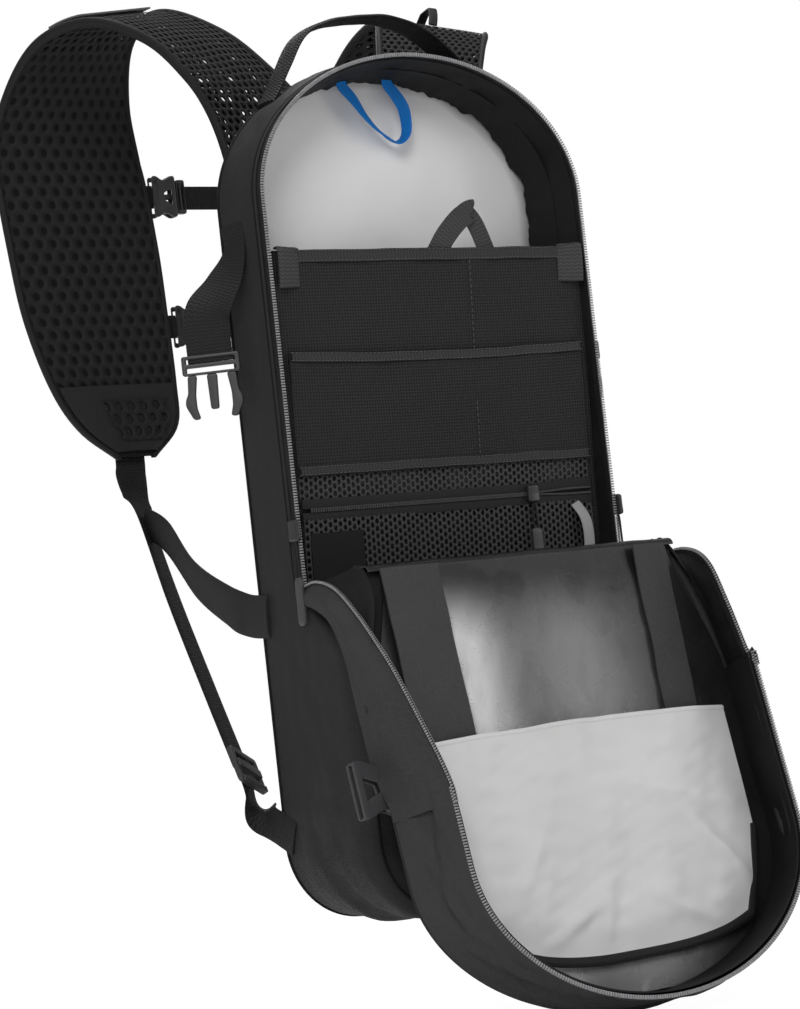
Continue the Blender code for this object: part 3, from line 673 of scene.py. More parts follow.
def satin(name, colour):
    """Pale satin nylon: soft sheen, fine ripstop lines and creases, with painted shade in the
    creases.
    """
    f = Finish(name)
    u, v = f.lay()
    crease = f.noise(16.0, 4.0, roughness=0.55)
    # Painted shade: the same noise that bumps the creases draws their low parts darker
    base = f.mix(crease, shade(colour, 0.86), shade(colour, 1.06))
    return f.feed(Base_Color=base, Roughness=crease * 0.15 + 0.34, Sheen_Weight=0.15,
                  Normal=f.bump(u.sine(0.0008) * v.sine(0.0008), 0.00004,
                                f.bump(crease, 0.0012)))


def staggered(u, v, width, height):
    """Local places in cells of a given size, each row shifted by half a cell: -0.5 to 0.5."""
    row = (v / height).maths("FLOOR")
    return ((u / width + row * 0.5).part() - 0.5, (v / height).part() - 0.5)


def grid_cloth(name, colour, cell=0.0018):
    """Stretch cloth of a square grid: rows of raised ribs, drawn lighter as a painted highlight,
    with a dark dot between each pair.
    """
    f = Finish(name)
    u, v = f.lay()
    x = (u / cell).part() - 0.5
    y = (v / cell).part() - 0.5
    dot = 1.0 - ((x * x + y * y) ** 0.5).over(0.12, 0.36)
    rib = y.maths("ABSOLUTE").over(0.2, 0.5)
    tone = f.noise(12.0, 3.0)
    base = f.mix(tone, shade(colour, 0.8), shade(colour, 1.2))
    # Painted highlight: the raised ribs are drawn lighter
    base = f.mix(rib * 0.35, base, shade(colour, 1.5))
    base = f.mix(dot * 0.85, base, shade(colour, 0.18))
    return f.feed(Base_Color=base, Roughness=tone * 0.1 + 0.75,
                  Normal=f.bump(rib - dot, 0.0003, f.bump(f.noise(45.0, 2.0), 0.0006)),
                  Specular_IOR_Level=0.25)


def net(name, colour, cell=0.0042, thread=0.30):
    """Open netting: six-sided holes between knitted threads, cut out with Alpha."""
    f = Finish(name)
    u, v = f.lay()
    x, y = staggered(u, v, cell, cell * 0.72)
    reach = ((x * x) * 1.0 + (y * y) * 0.9) ** 0.5
    solid = reach.over(thread, thread + 0.05)
    round_thread = reach.over(thread, 0.56)
    # Painted light: each thread is drawn darker at its sides and lighter along its middle, as a
    # round thread is lit
    base = f.mix(round_thread, shade(colour, 0.5), shade(colour, 1.3))
    return f.feed(Base_Color=base, Roughness=0.7, Alpha=solid,
                  Normal=f.bump(round_thread, 0.0004), Specular_IOR_Level=0.3)


def spacer(name, colour, open_to=-1.0, closed_from=-1.0, width=0.0072, height=0.0058,
           reach=0.33):
    """Knitted spacer mesh: rows of oval slots, drawn near black as painted shade for their depth;
    see-through only where v is below open_to.
    """
    f = Finish(name)
    u, v = f.lay()
    x, y = staggered(u, v, width, height)
    away = ((x * x) * 1.9 + (y * y) * 1.0) ** 0.5
    solid = away.over(reach - 0.03, reach + 0.03)
    knit = (u.sine(0.0014) * v.sine(0.0011)) * 0.5 + 0.5
    base = f.mix(knit, shade(colour, 0.7), shade(colour, 1.35))
    # Painted shade: the slots are drawn near black for the depth behind them
    base = f.mix(1.0 - solid, base, shade(colour, 0.12))
    height_map = away.over(reach - 0.05, 0.6) * 0.8 + knit * 0.2
    values = {"Base_Color": base, "Roughness": knit * 0.1 + 0.75, "Specular_IOR_Level": 0.25,
              "Normal": f.bump(height_map, 0.0016)}
    if open_to > 0.0:
        see_through = 1.0 - v.over(open_to, closed_from)
        values["Alpha"] = 1.0 - see_through * (1.0 - solid)
    return f.feed(**values)


# ---------------------------------------------------------------- sizes and colours

def colour_of(name, words, value):
    return FloatVectorProperty(name=name, description=words, subtype="COLOR", size=3,
                               min=0.0, max=1.0, default=value)


def length_of(name, words, value, low=0.0, high=0.1):
    return FloatProperty(name=name, description=words, unit="LENGTH", default=value,
                         min=low, max=high, precision=4)


class PackColours(bpy.types.PropertyGroup):
    """The colours of the pack's materials."""
    body_cloth: colour_of("Body cloth", "Outer cloth of the body and the front panel",
                          (0.021, 0.021, 0.022))
    inner_cloth: colour_of("Inner cloth", "Cloth of the gussets inside", (0.010, 0.010, 0.011))
    black_webbing: colour_of("Webbing", "Straps, handle and tapes", (0.016, 0.016, 0.017))
    grey_webbing: colour_of("Grey webbing", "Tabs and pull loop inside", (0.055, 0.055, 0.057))
    blue_webbing: colour_of("Hanger webbing", "Loop that carries the reservoir",
                            (0.004, 0.19, 0.62))
    organiser: colour_of("Organiser cloth", "Stretch cloth of the organiser",
                         (0.026, 0.026, 0.027))
    pale_lining: colour_of("Pale lining", "Wall behind the organiser", (0.86, 0.85, 0.85))
    pocket: colour_of("Pocket cloth", "Pale pocket in the front panel", (0.72, 0.71, 0.71))
    silver: colour_of("Coated lining", "Shiny lining of the front panel", (0.62, 0.62, 0.62))
    strap_mesh: colour_of("Strap mesh", "Knitted spacer mesh of the vest straps",
                          (0.021, 0.021, 0.022))
    plastic: colour_of("Buckles", "Moulded buckles and locks", (0.048, 0.048, 0.051))
    pull: colour_of("Zip pulls", "Moulded tabs on the zip cords", (0.060, 0.060, 0.063))
    teeth: colour_of("Zip teeth", "Coil of the zips", (0.36, 0.36, 0.37))
    key_strap: colour_of("Key strap", "Pale strap of the key clip", (0.36, 0.36, 0.36))


class PackSizes(bpy.types.PropertyGroup):
    """The sizes of the pack's details."""
    tooth_pitch: length_of("Tooth pitch", "From one zip tooth to the next", 0.0015, 0.0008)
    stitch_pitch: length_of("Stitch pitch", "From one stitch to the next", 0.0034, 0.001)
    wrinkle: length_of("Wrinkle depth", "How far the body cloth waves", 0.0024)
    net_cell: length_of("Net cell", "Width of one hole of the netting", 0.0042, 0.001)
    slot_width: length_of("Slot width", "From one slot of the strap mesh to the next", 0.0078,
                          0.002)
    floor_gap: length_of("Floor gap", "From the lowest point of the pack to the floor", 0.002)


# Each finish: its maker, its colour in PackColours, a factor on the colour, and the maker's other
# arguments, where a word stands for one of PackSizes
FINISHES = {
    "body_cloth": (cloth, "body_cloth", 1.0, {}),
    # The panel's walls and the fold: the body cloth made lighter, a painted sheen
    "wall_cloth": (cloth, "body_cloth", 1.9, {"mottle": 0.35}),
    "seam_tape": (cloth, "body_cloth", 2.3, {"thread": 0.0010}),
    "piping": (cloth, "inner_cloth", 0.55, {"thread": 0.0008}),
    "inner_cloth": (cloth, "inner_cloth", 1.0, {"roughness": 0.6, "grain": 0.0004}),
    "strap_core": (cloth, "inner_cloth", 0.8, {}),
    "label_cloth": (cloth, "grey_webbing", 2.2, {}),
    "zip_tape": (cloth, "black_webbing", 1.1,
                 {"thread": 0.0010, "roughness": 0.6, "weave": 0.0001}),
    "grey_thread": (cloth, "organiser", 2.6, {"thread": 0.0006}),
    "organiser_cloth": (grid_cloth, "organiser", 1.0, {}),
    "organiser_hem": (webbing, "organiser", 1.35, {"rib": 0.0021, "depth": 0.0002}),
    "grey_webbing": (webbing, "grey_webbing", 1.0, {"rib": 0.0021, "depth": 0.0004}),
    "hanger_webbing": (webbing, "blue_webbing", 1.0, {"rib": 0.0012, "depth": 0.0002}),
    "pull_cord": (webbing, "black_webbing", 1.0, {"rib": 0.0011, "depth": 0.0001}),
    "binding": (webbing, "black_webbing", 1.0, {"rib": 0.0012, "depth": 0.0002}),
    "strap_binding": (webbing, "black_webbing", 0.9, {"rib": 0.0013, "depth": 0.0002}),
    "back_binding": (webbing, "black_webbing", 1.0, {"rib": 0.0013, "depth": 0.0002}),
    "elastic": (webbing, "black_webbing", 0.8, {"rib": 0.0010, "depth": 0.0002}),
    "strap_webbing": (webbing, "black_webbing", 1.0, {"rib": 0.0019, "depth": 0.0004}),
    "key_ribbon": (webbing, "key_strap", 1.0,
                   {"rib": 0.0011, "roughness": 0.5, "depth": 0.0001}),
    "zip_coil": (zip_teeth, "teeth", 1.0, {}),
    "black_coil": (zip_teeth, "teeth", 0.22, {}),
    "pull_plastic": (moulded, "pull", 1.0, {}),
    "slider_metal": (moulded, "plastic", 0.6, {"roughness": 0.3}),
    "clip_metal": (moulded, "key_strap", 0.8, {"roughness": 0.3}),
    "buckle_plastic": (moulded, "plastic", 1.0, {}),
    "dark_plastic": (moulded, "plastic", 0.35, {}),
    "pale_lining": (plain_lining, "pale_lining", 1.0, {}),
    "coated_lining": (coated, "silver", 1.0, {}),
    "pocket_cloth": (satin, "pocket", 1.0, {}),
    "black_net": (net, "strap_mesh", 2.3, {"cell": "net_cell"}),
    "strap_mesh_outer": (spacer, "strap_mesh", 1.3,
                         {"open_to": 0.20, "closed_from": 0.23, "width": 0.0060,
                          "height": 0.0052, "reach": 0.37}),
    "strap_mesh_inner": (spacer, "strap_mesh", 1.0,
                         {"open_to": 0.19, "closed_from": 0.22, "width": "slot_width",
                          "height": 0.0080}),
    "back_mesh": (spacer, "strap_mesh", 1.0, {"width": 0.0062, "height": 0.0052}),
}


def finish(name):
    """A material by its name, made when it is first asked for, so that pieces share it."""
    if name not in bpy.data.materials:
        scene = bpy.context.scene
        maker, colour, factor, options = FINISHES[name]
        options = {key: getattr(scene.pack_sizes, value) if isinstance(value, str) else value
                   for key, value in options.items()}
        maker(name, shade(getattr(scene.pack_colours, colour), factor), **options)
    return bpy.data.materials[name]


class PackOperator:
    """What every builder of pieces shares."""
    bl_options = {"REGISTER", "UNDO"}

    def execute(self, context):
        self.build(context.scene.pack_sizes)
        return {"FINISHED"}


# ---------------------------------------------------------------- outlines

def outline_loop(inset, count):
    """The closed outline in x and z: half an ellipse over straight sides and round corners."""
    a = HALF_WIDTH - inset
    b = TOP_Z - SPRING_Z - inset
    radius = max(BASE_RADIUS - inset, 0.001)
    turn = np.linspace(0.0, math.pi / 2.0, 24)
    corner = np.stack([-a + radius - radius * np.sin(turn),
                       BASE_Z + inset + radius - radius * np.cos(turn)], axis=1)
    arch = np.linspace(math.pi, math.pi / 2.0, 60)
    top = np.stack([a * np.cos(arch), SPRING_Z + b * np.sin(arch)], axis=1)
    left = np.vstack([[(0.0, BASE_Z + inset)], corner, top])
    right = left[::-1][1:-1] * [-1.0, 1.0]
    return even(np.vstack([left, right]), count, closed=True)


def arch_line(inset, z_low, count, right_low=None):
    """Up the left side from z_low, over the arch and down the right side."""
    a = HALF_WIDTH - inset
    b = TOP_Z - SPRING_Z - inset
    angle = np.linspace(math.pi, 0.0, 121)
    arch = np.stack([a * np.cos(angle), SPRING_Z + b * np.sin(angle)], axis=1)
    end = z_low if right_low is None else right_low
    return even(np.vstack([[(-a, z_low)], arch, [(a, end)]]), count)


def outward(path, closed=False):
    """Unit directions out of an outline that runs clockwise when seen from the front."""
    return along(path, closed)[:, ::-1] * [-1.0, 1.0]


def ring_surface(path, out, inset, y, lift=0.0):
    """Points at an inset and a depth for each station of an outline."""
    reach = path[:, None, :] - out[:, None, :] * (inset - lift)[..., None]
    return points(reach[..., 0], y, reach[..., 1])


def dish(path, rings, y_of, power=0.8):
    """A closed outline filled with rings drawn in to its middle; y_of gives depth from x, z."""
    share = np.linspace(1.0, 0.0, rings) ** power
    middle = np.array([0.0, -0.01])
    flat = middle + (path - middle)[:, None, :] * share[None, :, None]
    y = y_of(flat[..., 0], flat[..., 1], share[None, :])
    return points(flat[..., 0], y, flat[..., 1])


def set_share(obj, name, values):
    """A number between 0 and 1 at each vertex, for the material to read."""
    layer = obj.data.attributes.new(name, "FLOAT", "POINT")
    layer.data.foreach_set("value", np.clip(np.asarray(values, np.float32), 0.0, 1.0))


def vertices_of(obj):
    """The vertices of a finished piece, in pack coordinates."""
    places = np.empty(len(obj.data.vertices) * 3)
    obj.data.vertices.foreach_get("co", places)
    return places.reshape(-1, 3) - SHIFT


# ---------------------------------------------------------------- body

# The angle, in degrees, past which an edge of a zip's tooth stays sharp
TEETH_SHARP = 30.0


class PACK_OT_body(PackOperator, bpy.types.Operator):
    """Body cloth, piping, back lip and the closed lower front."""
    bl_idname = "hydration_pack.body"
    bl_label = "Body"

    def build(self, sizes):
        path = outline_loop(0.0, 420)
        out = outward(path, closed=True)
        z = path[:, 1][:, None]
        low = smoothstep(POUCH_TOP_Z, POUCH_TOP_Z - 0.042, z)
        depth = 0.0430 + 0.0520 * low
        front = 0.0006 + 0.0140 * low
        quarter = np.linspace(0.0, math.pi / 2.0, 7)[None, :]
        back = 0.0055
        share = np.linspace(0.0, 1.0, 26)[1:-1][None, :]
        one = np.ones_like(z)
        inset = np.hstack([0.030 * one, 0.016 * one, one * back * (1.0 - np.sin(quarter)),
                           0.0 * one * share, front * (1.0 - np.cos(quarter)),
                           front + 0.014 * low])
        y = np.hstack([-0.0006 * one, -0.0006 * one, one * -back * (1.0 - np.cos(quarter)) - 0.0006,
                       -back - 0.0006 - (depth - back - front) * share,
                       -(depth - front) - front * np.sin(quarter), -depth])
        wall = np.sin(np.clip((-y - 0.004) / (depth - 0.008), 0.0, 1.0) * math.pi)
        P = ring_surface(path, out, inset, y)
        folds = ripple(P * [1.0, 0.6, 0.5], 0.055, 3) * 0.7 + ripple(P, 0.022, 4) * 0.25
        slouch = smoothstep(-0.10, -0.22, z) * ripple(P * [1.0, 1.4, 1.0], 0.045, 8)
        lift = wall * (0.0012 + sizes.wrinkle * folds + 0.0022 * slouch)
        P = ring_surface(path, out, inset, y, lift)
        add_piece("body_skin", slab(P, CLOTH, wrap=True), "body_cloth", "pack", ("body_shell",))
        self.add_front()
        self.add_piping(path, out)

    def add_front(self):
        """The pouch's front: rows of half-ellipse width, bowed out in the middle."""
        v = np.linspace(0.0, 1.0, 60)[:, None]
        u = np.linspace(-1.0, 1.0, 70)[None, :]
        inset = 0.0135
        radius = BASE_RADIUS - inset
        z = BASE_Z + inset + (POUCH_TOP_Z - 0.001 - BASE_Z - inset) * v
        drop = np.clip((BASE_Z + inset + radius - z) / radius, 0.0, 1.0)
        half = HALF_WIDTH - inset - radius * (1.0 - np.sqrt(1.0 - drop ** 2))
        x = half * u
        bow = (1.0 - u ** 4) * np.sin(v * math.pi)
        y = FRONT_Y + 0.0012 - bow * (0.0030 + 0.0016 * ripple(points(x, FRONT_Y, z), 0.05, 21))
        add_piece("lower_front", slab(points(x, y, z)[:, ::-1], CLOTH), "body_cloth", "pack")

    def add_piping(self, path, out):
        """Thin cords along the back edge and the front seam of the body."""
        rim = path + out * (0.0012 - 0.0008)
        arch = arch_line(-0.0006, POUCH_TOP_Z - 0.002, 300)
        below = outline_loop(-0.0004, 300)
        below = below[below[:, 1] < POUCH_TOP_Z - 0.012]
        below = below[np.argsort(np.arctan2(below[:, 0], -(below[:, 1] + 0.1)))]
        hem = below + outward(below) * 0.004
        for name, line, y, thick, options in (
                ("back_piping", rim, -0.0035, 0.0022, {"closed": True}),
                ("side_seam", arch, -0.0418, 0.0013, {"around": 6}),
                ("front_seam", hem, FRONT_Y + 0.0012, 0.0016, {"around": 6})):
            cord_line = tube(points(line[:, 0], y, line[:, 1]), thick, side=(0.0, 1.0, 0.0),
                             **options)
            add_piece(name, cord_line, "piping", "pack", weld=True)


def add_teeth(sizes, path, out, y, facing, name, body, place=np.asarray, turn=np.asarray):
    """Teeth on a tape's edge, which point out of it, carried to where the panel stands."""
    spots = even(np.hstack([path, out]), int(travel(path)[-1] / sizes.tooth_pitch), place=2)
    away = unit(spots[:, 2:])
    flat = points(spots[:, 0], y, spots[:, 1])
    ahead = np.broadcast_to([0.0, facing, 0.0], flat.shape)
    surface = blocks(place(flat), turn(along(flat)), turn(points(away[:, 0], 0, away[:, 1])),
                     turn(ahead), tooth(sizes))
    add_piece(name, surface, "zip_coil", body, sharp=TEETH_SHARP)


class PACK_OT_main_zip(PackOperator, bpy.types.Operator):
    """Tape and teeth of the main zip on the body; the front panel's half is built with the panel.
    """
    bl_idname = "hydration_pack.main_zip"
    bl_label = "Main zip"

    def build(self, sizes):
        count = 360
        path = arch_line(0.0006, POUCH_TOP_Z - 0.002, count)
        out = outward(path)
        y = np.linspace(-0.0415, BODY_RIM_Y, 7)[None, :]
        wave = 0.0003 * ripple(points(path[:, 0], path[:, 1], 0), 0.03, 5)[:, None]
        P = ring_surface(path, out, 0.0006 * np.ones((count, 7)) + wave, y)
        add_piece("main_zip_tape", slab(P, TAPE), "zip_tape", "pack", ("body_zip_tape",))
        add_teeth(sizes, path, out, BODY_RIM_Y, -1.0, "main_zip_teeth", "pack")



# ---------------------------------------------------------------- inside of the body

class PACK_OT_inside(PackOperator, bpy.types.Operator):
    """Pale lining, wrinkled gusset layers and the hanger loop."""
    bl_idname = "hydration_pack.inside"
    bl_label = "Inside"

    def build(self, sizes):
        self.add_lining()
        self.add_gussets()
        self.add_hanger()

    def add_lining(self):
        """The back wall: the outline drawn in, bowed forward, dented towards its edge, with a mask
        of painted shade near its rim and above the organiser.
        """
        path = outline_loop(0.0042, 260)

        def depth(x, z, share):
            return (-0.0046 - 0.0035 * (1.0 - share ** 4)
                    - 0.0014 * share ** 3 * ripple(points(x, 0, z), 0.06, 11))

        P = dish(path, 42, depth)
        wall = add_piece("lining_wall", slab(P, 0.0012, wrap=True), "pale_lining", "pack",
                         ("lining_panel",), weld=True)
        at = vertices_of(wall)
        a, b = HALF_WIDTH, TOP_Z - SPRING_Z
        high = np.hypot(at[:, 0] / a, np.maximum(at[:, 2] - SPRING_Z, 0.0) / b)
        # Painted shade for the edge mask: near the wall's rim, stronger on the right, and in a band
        # just above the organiser's top
        rim = smoothstep(0.80, 0.97, high + 0.02 * ripple(at, 0.05, 12))
        shade_above_organiser = smoothstep(ORG_TOP_Z + 0.014, ORG_TOP_Z - 0.004, at[:, 2]) * 0.35
        set_share(wall, "edge", rim * (0.55 + 0.45 * smoothstep(-0.06, 0.05, at[:, 0])) + shade_above_organiser)

    def add_gussets(self):
        """Two layers inside the wall, each with a wavy sewn edge towards the lining."""
        count = 520
        path = arch_line(0.0, -0.20, count)
        out = outward(path)
        flat = points(path[:, 0], 0, path[:, 1])
        t = np.linspace(0.0, 1.0, 16)[None, :]
        for name, y0, y1, in0, in1, seed, rough in (
                ("gusset_outer", -0.0470, -0.0250, 0.0022, 0.0042, 31, 0.0009),
                ("gusset_inner", -0.0300, -0.0075, 0.0040, 0.0068, 32, 0.0013)):
            ragged = rough * (ripple(flat, 0.040, seed) + 0.5 * ripple(flat, 0.009, seed + 1))
            y = y0 + (y1 - y0) * t + (ragged * 0.8)[:, None] * t ** 3
            inset = in0 + (in1 - in0) * t ** 1.5 + (ragged * 1.6)[:, None] * t ** 2
            crease = ripple(points(path[:, 0], path[:, 1], 0), 0.030, seed + 5)[:, None]
            P = ring_surface(path, out, inset + crease * np.sin(math.pi * t) * 0.0011, y)
            add_piece(name, slab(P, 0.0009), "inner_cloth", "pack")

    def add_hanger(self):
        """The hanger loop: a ribbon that comes down two legs and turns through its low end."""
        route = [(-0.0253, -0.014, 0.2262), (-0.0251, -0.014, 0.2222), (-0.0188, -0.0142, 0.2150),
                 (-0.0112, -0.0145, 0.2040), (-0.0032, -0.0148, 0.1960), (0.0076, -0.0150, 0.1897),
                 (0.0150, -0.0148, 0.1956), (0.0152, -0.0145, 0.2091), (0.0105, -0.0142, 0.2180),
                 (0.0061, -0.014, 0.2238), (0.0060, -0.014, 0.2286)]
        path = curve(route, 110)
        turn = np.interp(np.linspace(0, 1, 110), (0.0, 0.12, 0.30, 0.45, 0.58, 0.70, 0.88, 1.0),
                         (0.0, 0.1, 0.7, 1.15, 1.25, 1.0, 0.2, 0.0))
        facing = np.array([0.0, -1.0, 0.0])
        flat_side = unit(np.cross(along(path), facing))
        side = flat_side * np.cos(turn)[:, None] + facing * np.sin(turn)[:, None]
        add_piece("hanger_ribbon", band(path, side, 0.0034, 0.0013), "hanger_webbing", "hanger",
                  ("hanger_loop",))


# ---------------------------------------------------------------- organiser

def organiser_place(x, z, ahead):
    """A point ahead of the organiser's back face, which leans forward towards its top."""
    share = (z - ORG_BASE_Z) / (ORG_TOP_Z - ORG_BASE_Z)
    return points(x, -0.034 - 0.0115 * share - ahead, z)


def organiser_sheet(half, low, high, ahead, rows=60, wave=0.0010, seed=41, sag=0.0):
    """A cloth of the organiser between two heights, with soft waves and a sagging top edge."""
    x = np.linspace(-half, half, 80)[:, None]
    v = np.linspace(0.0, 1.0, rows)[None, :]
    top = high - sag * (1.0 - (x / half) ** 2)
    z = low + (top - low) * v
    return organiser_place(x, z, ahead + wave * ripple(points(x, 0, z), 0.05, seed) + wave * 0.6)


class PACK_OT_organiser(PackOperator, bpy.types.Operator):
    """Organiser cloth, hems, netting, patch, tabs and pull loop."""
    bl_idname = "hydration_pack.organiser"
    bl_label = "Organiser"

    def build(self, sizes):
        half = ORG_HALF - 0.0006
        back = organiser_sheet(half, ORG_BASE_Z, ORG_TOP_Z, 0.0008)
        add_piece("organiser_back", slab(back, 0.0012), "organiser_cloth", "pack",
                  ("organiser_panel",))
        front = organiser_sheet(0.0990, ORG_POCKET_BASE_Z, ORG_POCKET_TOP_Z, 0.0026,
                                wave=0.0012, seed=43, sag=0.0022)
        add_piece("stretch_pocket", slab(front, 0.0011), "organiser_cloth", "pack",
                  ("organiser_stretch_pocket",))
        self.add_hems(sizes, half)
        self.add_netting()
        self.add_tabs(half)
        self.add_pull_loop()

    def add_hems(self, sizes, half):
        """The bound top edge, the pocket's hem, the middle seam and the rows of stitches."""
        x = np.linspace(-half, half, 120)
        surfaces = []
        rows = []
        for z0, height, ahead, sag, reach in ((ORG_TOP_Z - 0.0032, 0.0068, 0.0030, 0.0, 0.92),
                                              (ORG_POCKET_TOP_Z - 0.0024, 0.0052, 0.0050, 0.0022,
                                               0.94),
                                              (ORG_POCKET_BASE_Z + 0.0030, 0.0050, 0.0050, 0.0,
                                               0.94)):
            z = z0 - sag * (1.0 - (x / half) ** 2) + 0.0003 * ripple(points(x, 0, 0), 0.05, 44)
            line = organiser_place(x * reach, z, ahead)
            surfaces.append(band(line, (0.0, 0.0, 1.0), height / 2.0, 0.0010, across=7))
            for edge in (-0.40, 0.40):
                spot = organiser_place(x * reach, z + edge * height, ahead + 0.0004)
                rows.append(stitches(spot, (0.0, -1.0, 0.0), sizes.stitch_pitch * 0.8, 0.0020,
                                     0.0005))
        seam_z = np.linspace(ORG_POCKET_BASE_Z + 0.004, ORG_TOP_Z - 0.008, 60)
        seam = organiser_place(0.0235 + 0.03 * (seam_z - 0.05), seam_z, 0.0036)
        rows.append(stitches(seam, (0.0, -1.0, 0.0), sizes.stitch_pitch, 0.0024, 0.0005))
        add_piece("organiser_hems", joined(*surfaces), "organiser_hem", "pack")
        add_piece("organiser_stitches", joined(*rows), "grey_thread", "pack", sharp=None)

    def add_netting(self):
        """The narrow net above the zip, the net pocket below it and its plain patch."""
        upper = organiser_sheet(ORG_ZIP_HALF, ORG_ZIP_Z + 0.0050, ORG_POCKET_BASE_Z + 0.0016,
                                0.0024, rows=12, wave=0.0006, seed=45)
        lower = organiser_sheet(ORG_ZIP_HALF, -0.0745, ORG_ZIP_Z - 0.0050, 0.0034, rows=30,
                                wave=0.0016, seed=46)
        add_piece("net_band", grid(upper), "black_net", "pack", sharp=None)
        add_piece("net_pocket", grid(lower), "black_net", "pack", ("organiser_mesh_pocket",),
                  sharp=None)
        x = np.linspace(-0.0950, -0.0620, 14)[:, None]
        z = np.linspace(-0.0660, -0.0330, 14)[None, :]
        patch = organiser_place(x, z, 0.0054 + 0.0004 * (x + 0.08) / 0.01)
        add_piece("net_patch", slab(patch, LINING), "inner_cloth", "pack", ("organiser_patch",))

    def add_tabs(self, half):
        """Folded webbing tabs that hold the organiser's top corners."""
        for side, name in ((-1.0, "left"), (1.0, "right")):
            route = [(0.0, 0.0030, 0.1228), (0.0, 0.0048, 0.1220), (0.0, 0.0052, 0.1150),
                     (0.0, 0.0050, 0.1060), (0.0, 0.0044, 0.1015)]
            path = curve([organiser_place(side * (half - 0.0085), z, ahead)
                          for _, ahead, z in route], 24)
            turn = np.array([side * 0.96, -0.28, 0.0])
            add_piece("corner_tab_cloth_" + name, band(path, turn, 0.0078, 0.0017),
                      "grey_webbing", "pack", ("corner_tab_" + name,))

    def add_pull_loop(self):
        """A length of webbing folded into a triangle above the organiser's edge."""
        first = curve([(0.0055, -0.0455, 0.1195), (0.0120, -0.0470, 0.1290),
                       (0.0205, -0.0480, 0.1375), (0.0290, -0.0470, 0.1428)], 36)
        second = curve([(0.0300, -0.0440, 0.1432), (0.0350, -0.0440, 0.1370),
                        (0.0385, -0.0445, 0.1280), (0.0410, -0.0450, 0.1195)], 36)
        fold = curve([(0.0290, -0.0470, 0.1428), (0.0325, -0.0462, 0.1440),
                      (0.0330, -0.0447, 0.1440), (0.0300, -0.0440, 0.1432)], 12)
        path = even(np.vstack([first, fold[1:-1], second]), 90)
        share = np.linspace(0.0, 1.0, 90)
        angle = np.interp(share, (0.0, 0.40, 0.52, 0.62, 1.0), (-0.72, -0.95, -1.6, -2.75, -2.98))
        side = points(-np.cos(angle), 0.10, -np.sin(angle))
        add_piece("pull_loop_webbing", band(path, side, 0.0062, 0.0016), "grey_webbing", "pack",
                  ("organiser_pull_loop",))


def top_and_size(node):
    """The middle of the top of a solid's box, in pack coordinates, and the box's size."""
    low, high = (np.array(corner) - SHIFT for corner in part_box(node))
    middle = (low + high) / 2.0
    return np.array([middle[0], middle[1], high[2]]), high - low


def cord_loop(top, low, width, thick):
    """A doubled cord: down one side and back up the other, as one thin loop."""
    top, low = np.asarray(top, float), np.asarray(low, float)
    side = np.array([1.0, 0.0, 0.0]) * width / 2.0
    if abs((low - top)[0]) < 1e-6 and abs(top[0]) > HALF_WIDTH:
        side = np.array([0.0, 1.0, 0.0]) * width / 2.0
    route = [low - side, top * 0.5 + low * 0.5 - side * 0.9, top - side * 0.7,
             top + (top - low) * 0.06, top + side * 0.7, top * 0.5 + low * 0.5 + side * 0.9,
             low + side]
    return tube(curve(route, 40), thick, side=(0.0, 0.0, 1.0), around=6)


def moulded_tab(top, length, width, thick, facing):
    """A moulded tab: rounded rings of a flattened section, carried down from its top."""
    top = np.asarray(top, float)
    v = np.linspace(0.0, 1.0, 22)
    half = width / 2.0 * np.interp(v, (0.0, 0.06, 0.15, 0.85, 0.95, 1.0),
                                   (0.55, 0.90, 0.94, 1.0, 0.92, 0.60))
    deep = thick / 2.0 * np.interp(v, (0.0, 0.08, 0.5, 0.94, 1.0), (0.5, 1.0, 0.85, 1.0, 0.5))
    angle = np.linspace(0.0, 2.0 * math.pi, 20, endpoint=False)
    a = np.sign(np.cos(angle)) * np.abs(np.cos(angle)) ** 0.45
    b = np.sign(np.sin(angle)) * np.abs(np.sin(angle)) ** 0.45
    to_side = facing == "side"
    side = np.array([0.0, 1.0, 0.0] if to_side else [1.0, 0.0, 0.0])
    out = np.array([1.0, 0.0, 0.0] if to_side else [0.0, -1.0, 0.0])
    v = np.concatenate([[0.0], v, [1.0]])
    half, deep = (np.concatenate([[0.0], row, [0.0]]) for row in (half, deep))
    P = (top + np.outer(v, [0.0, 0.0, -length])[:, None]
         + side * (half[:, None] * a)[..., None] + out * (deep[:, None] * b)[..., None])
    return grid(np.swapaxes(P, 0, 1), wrap=True, flip=to_side)


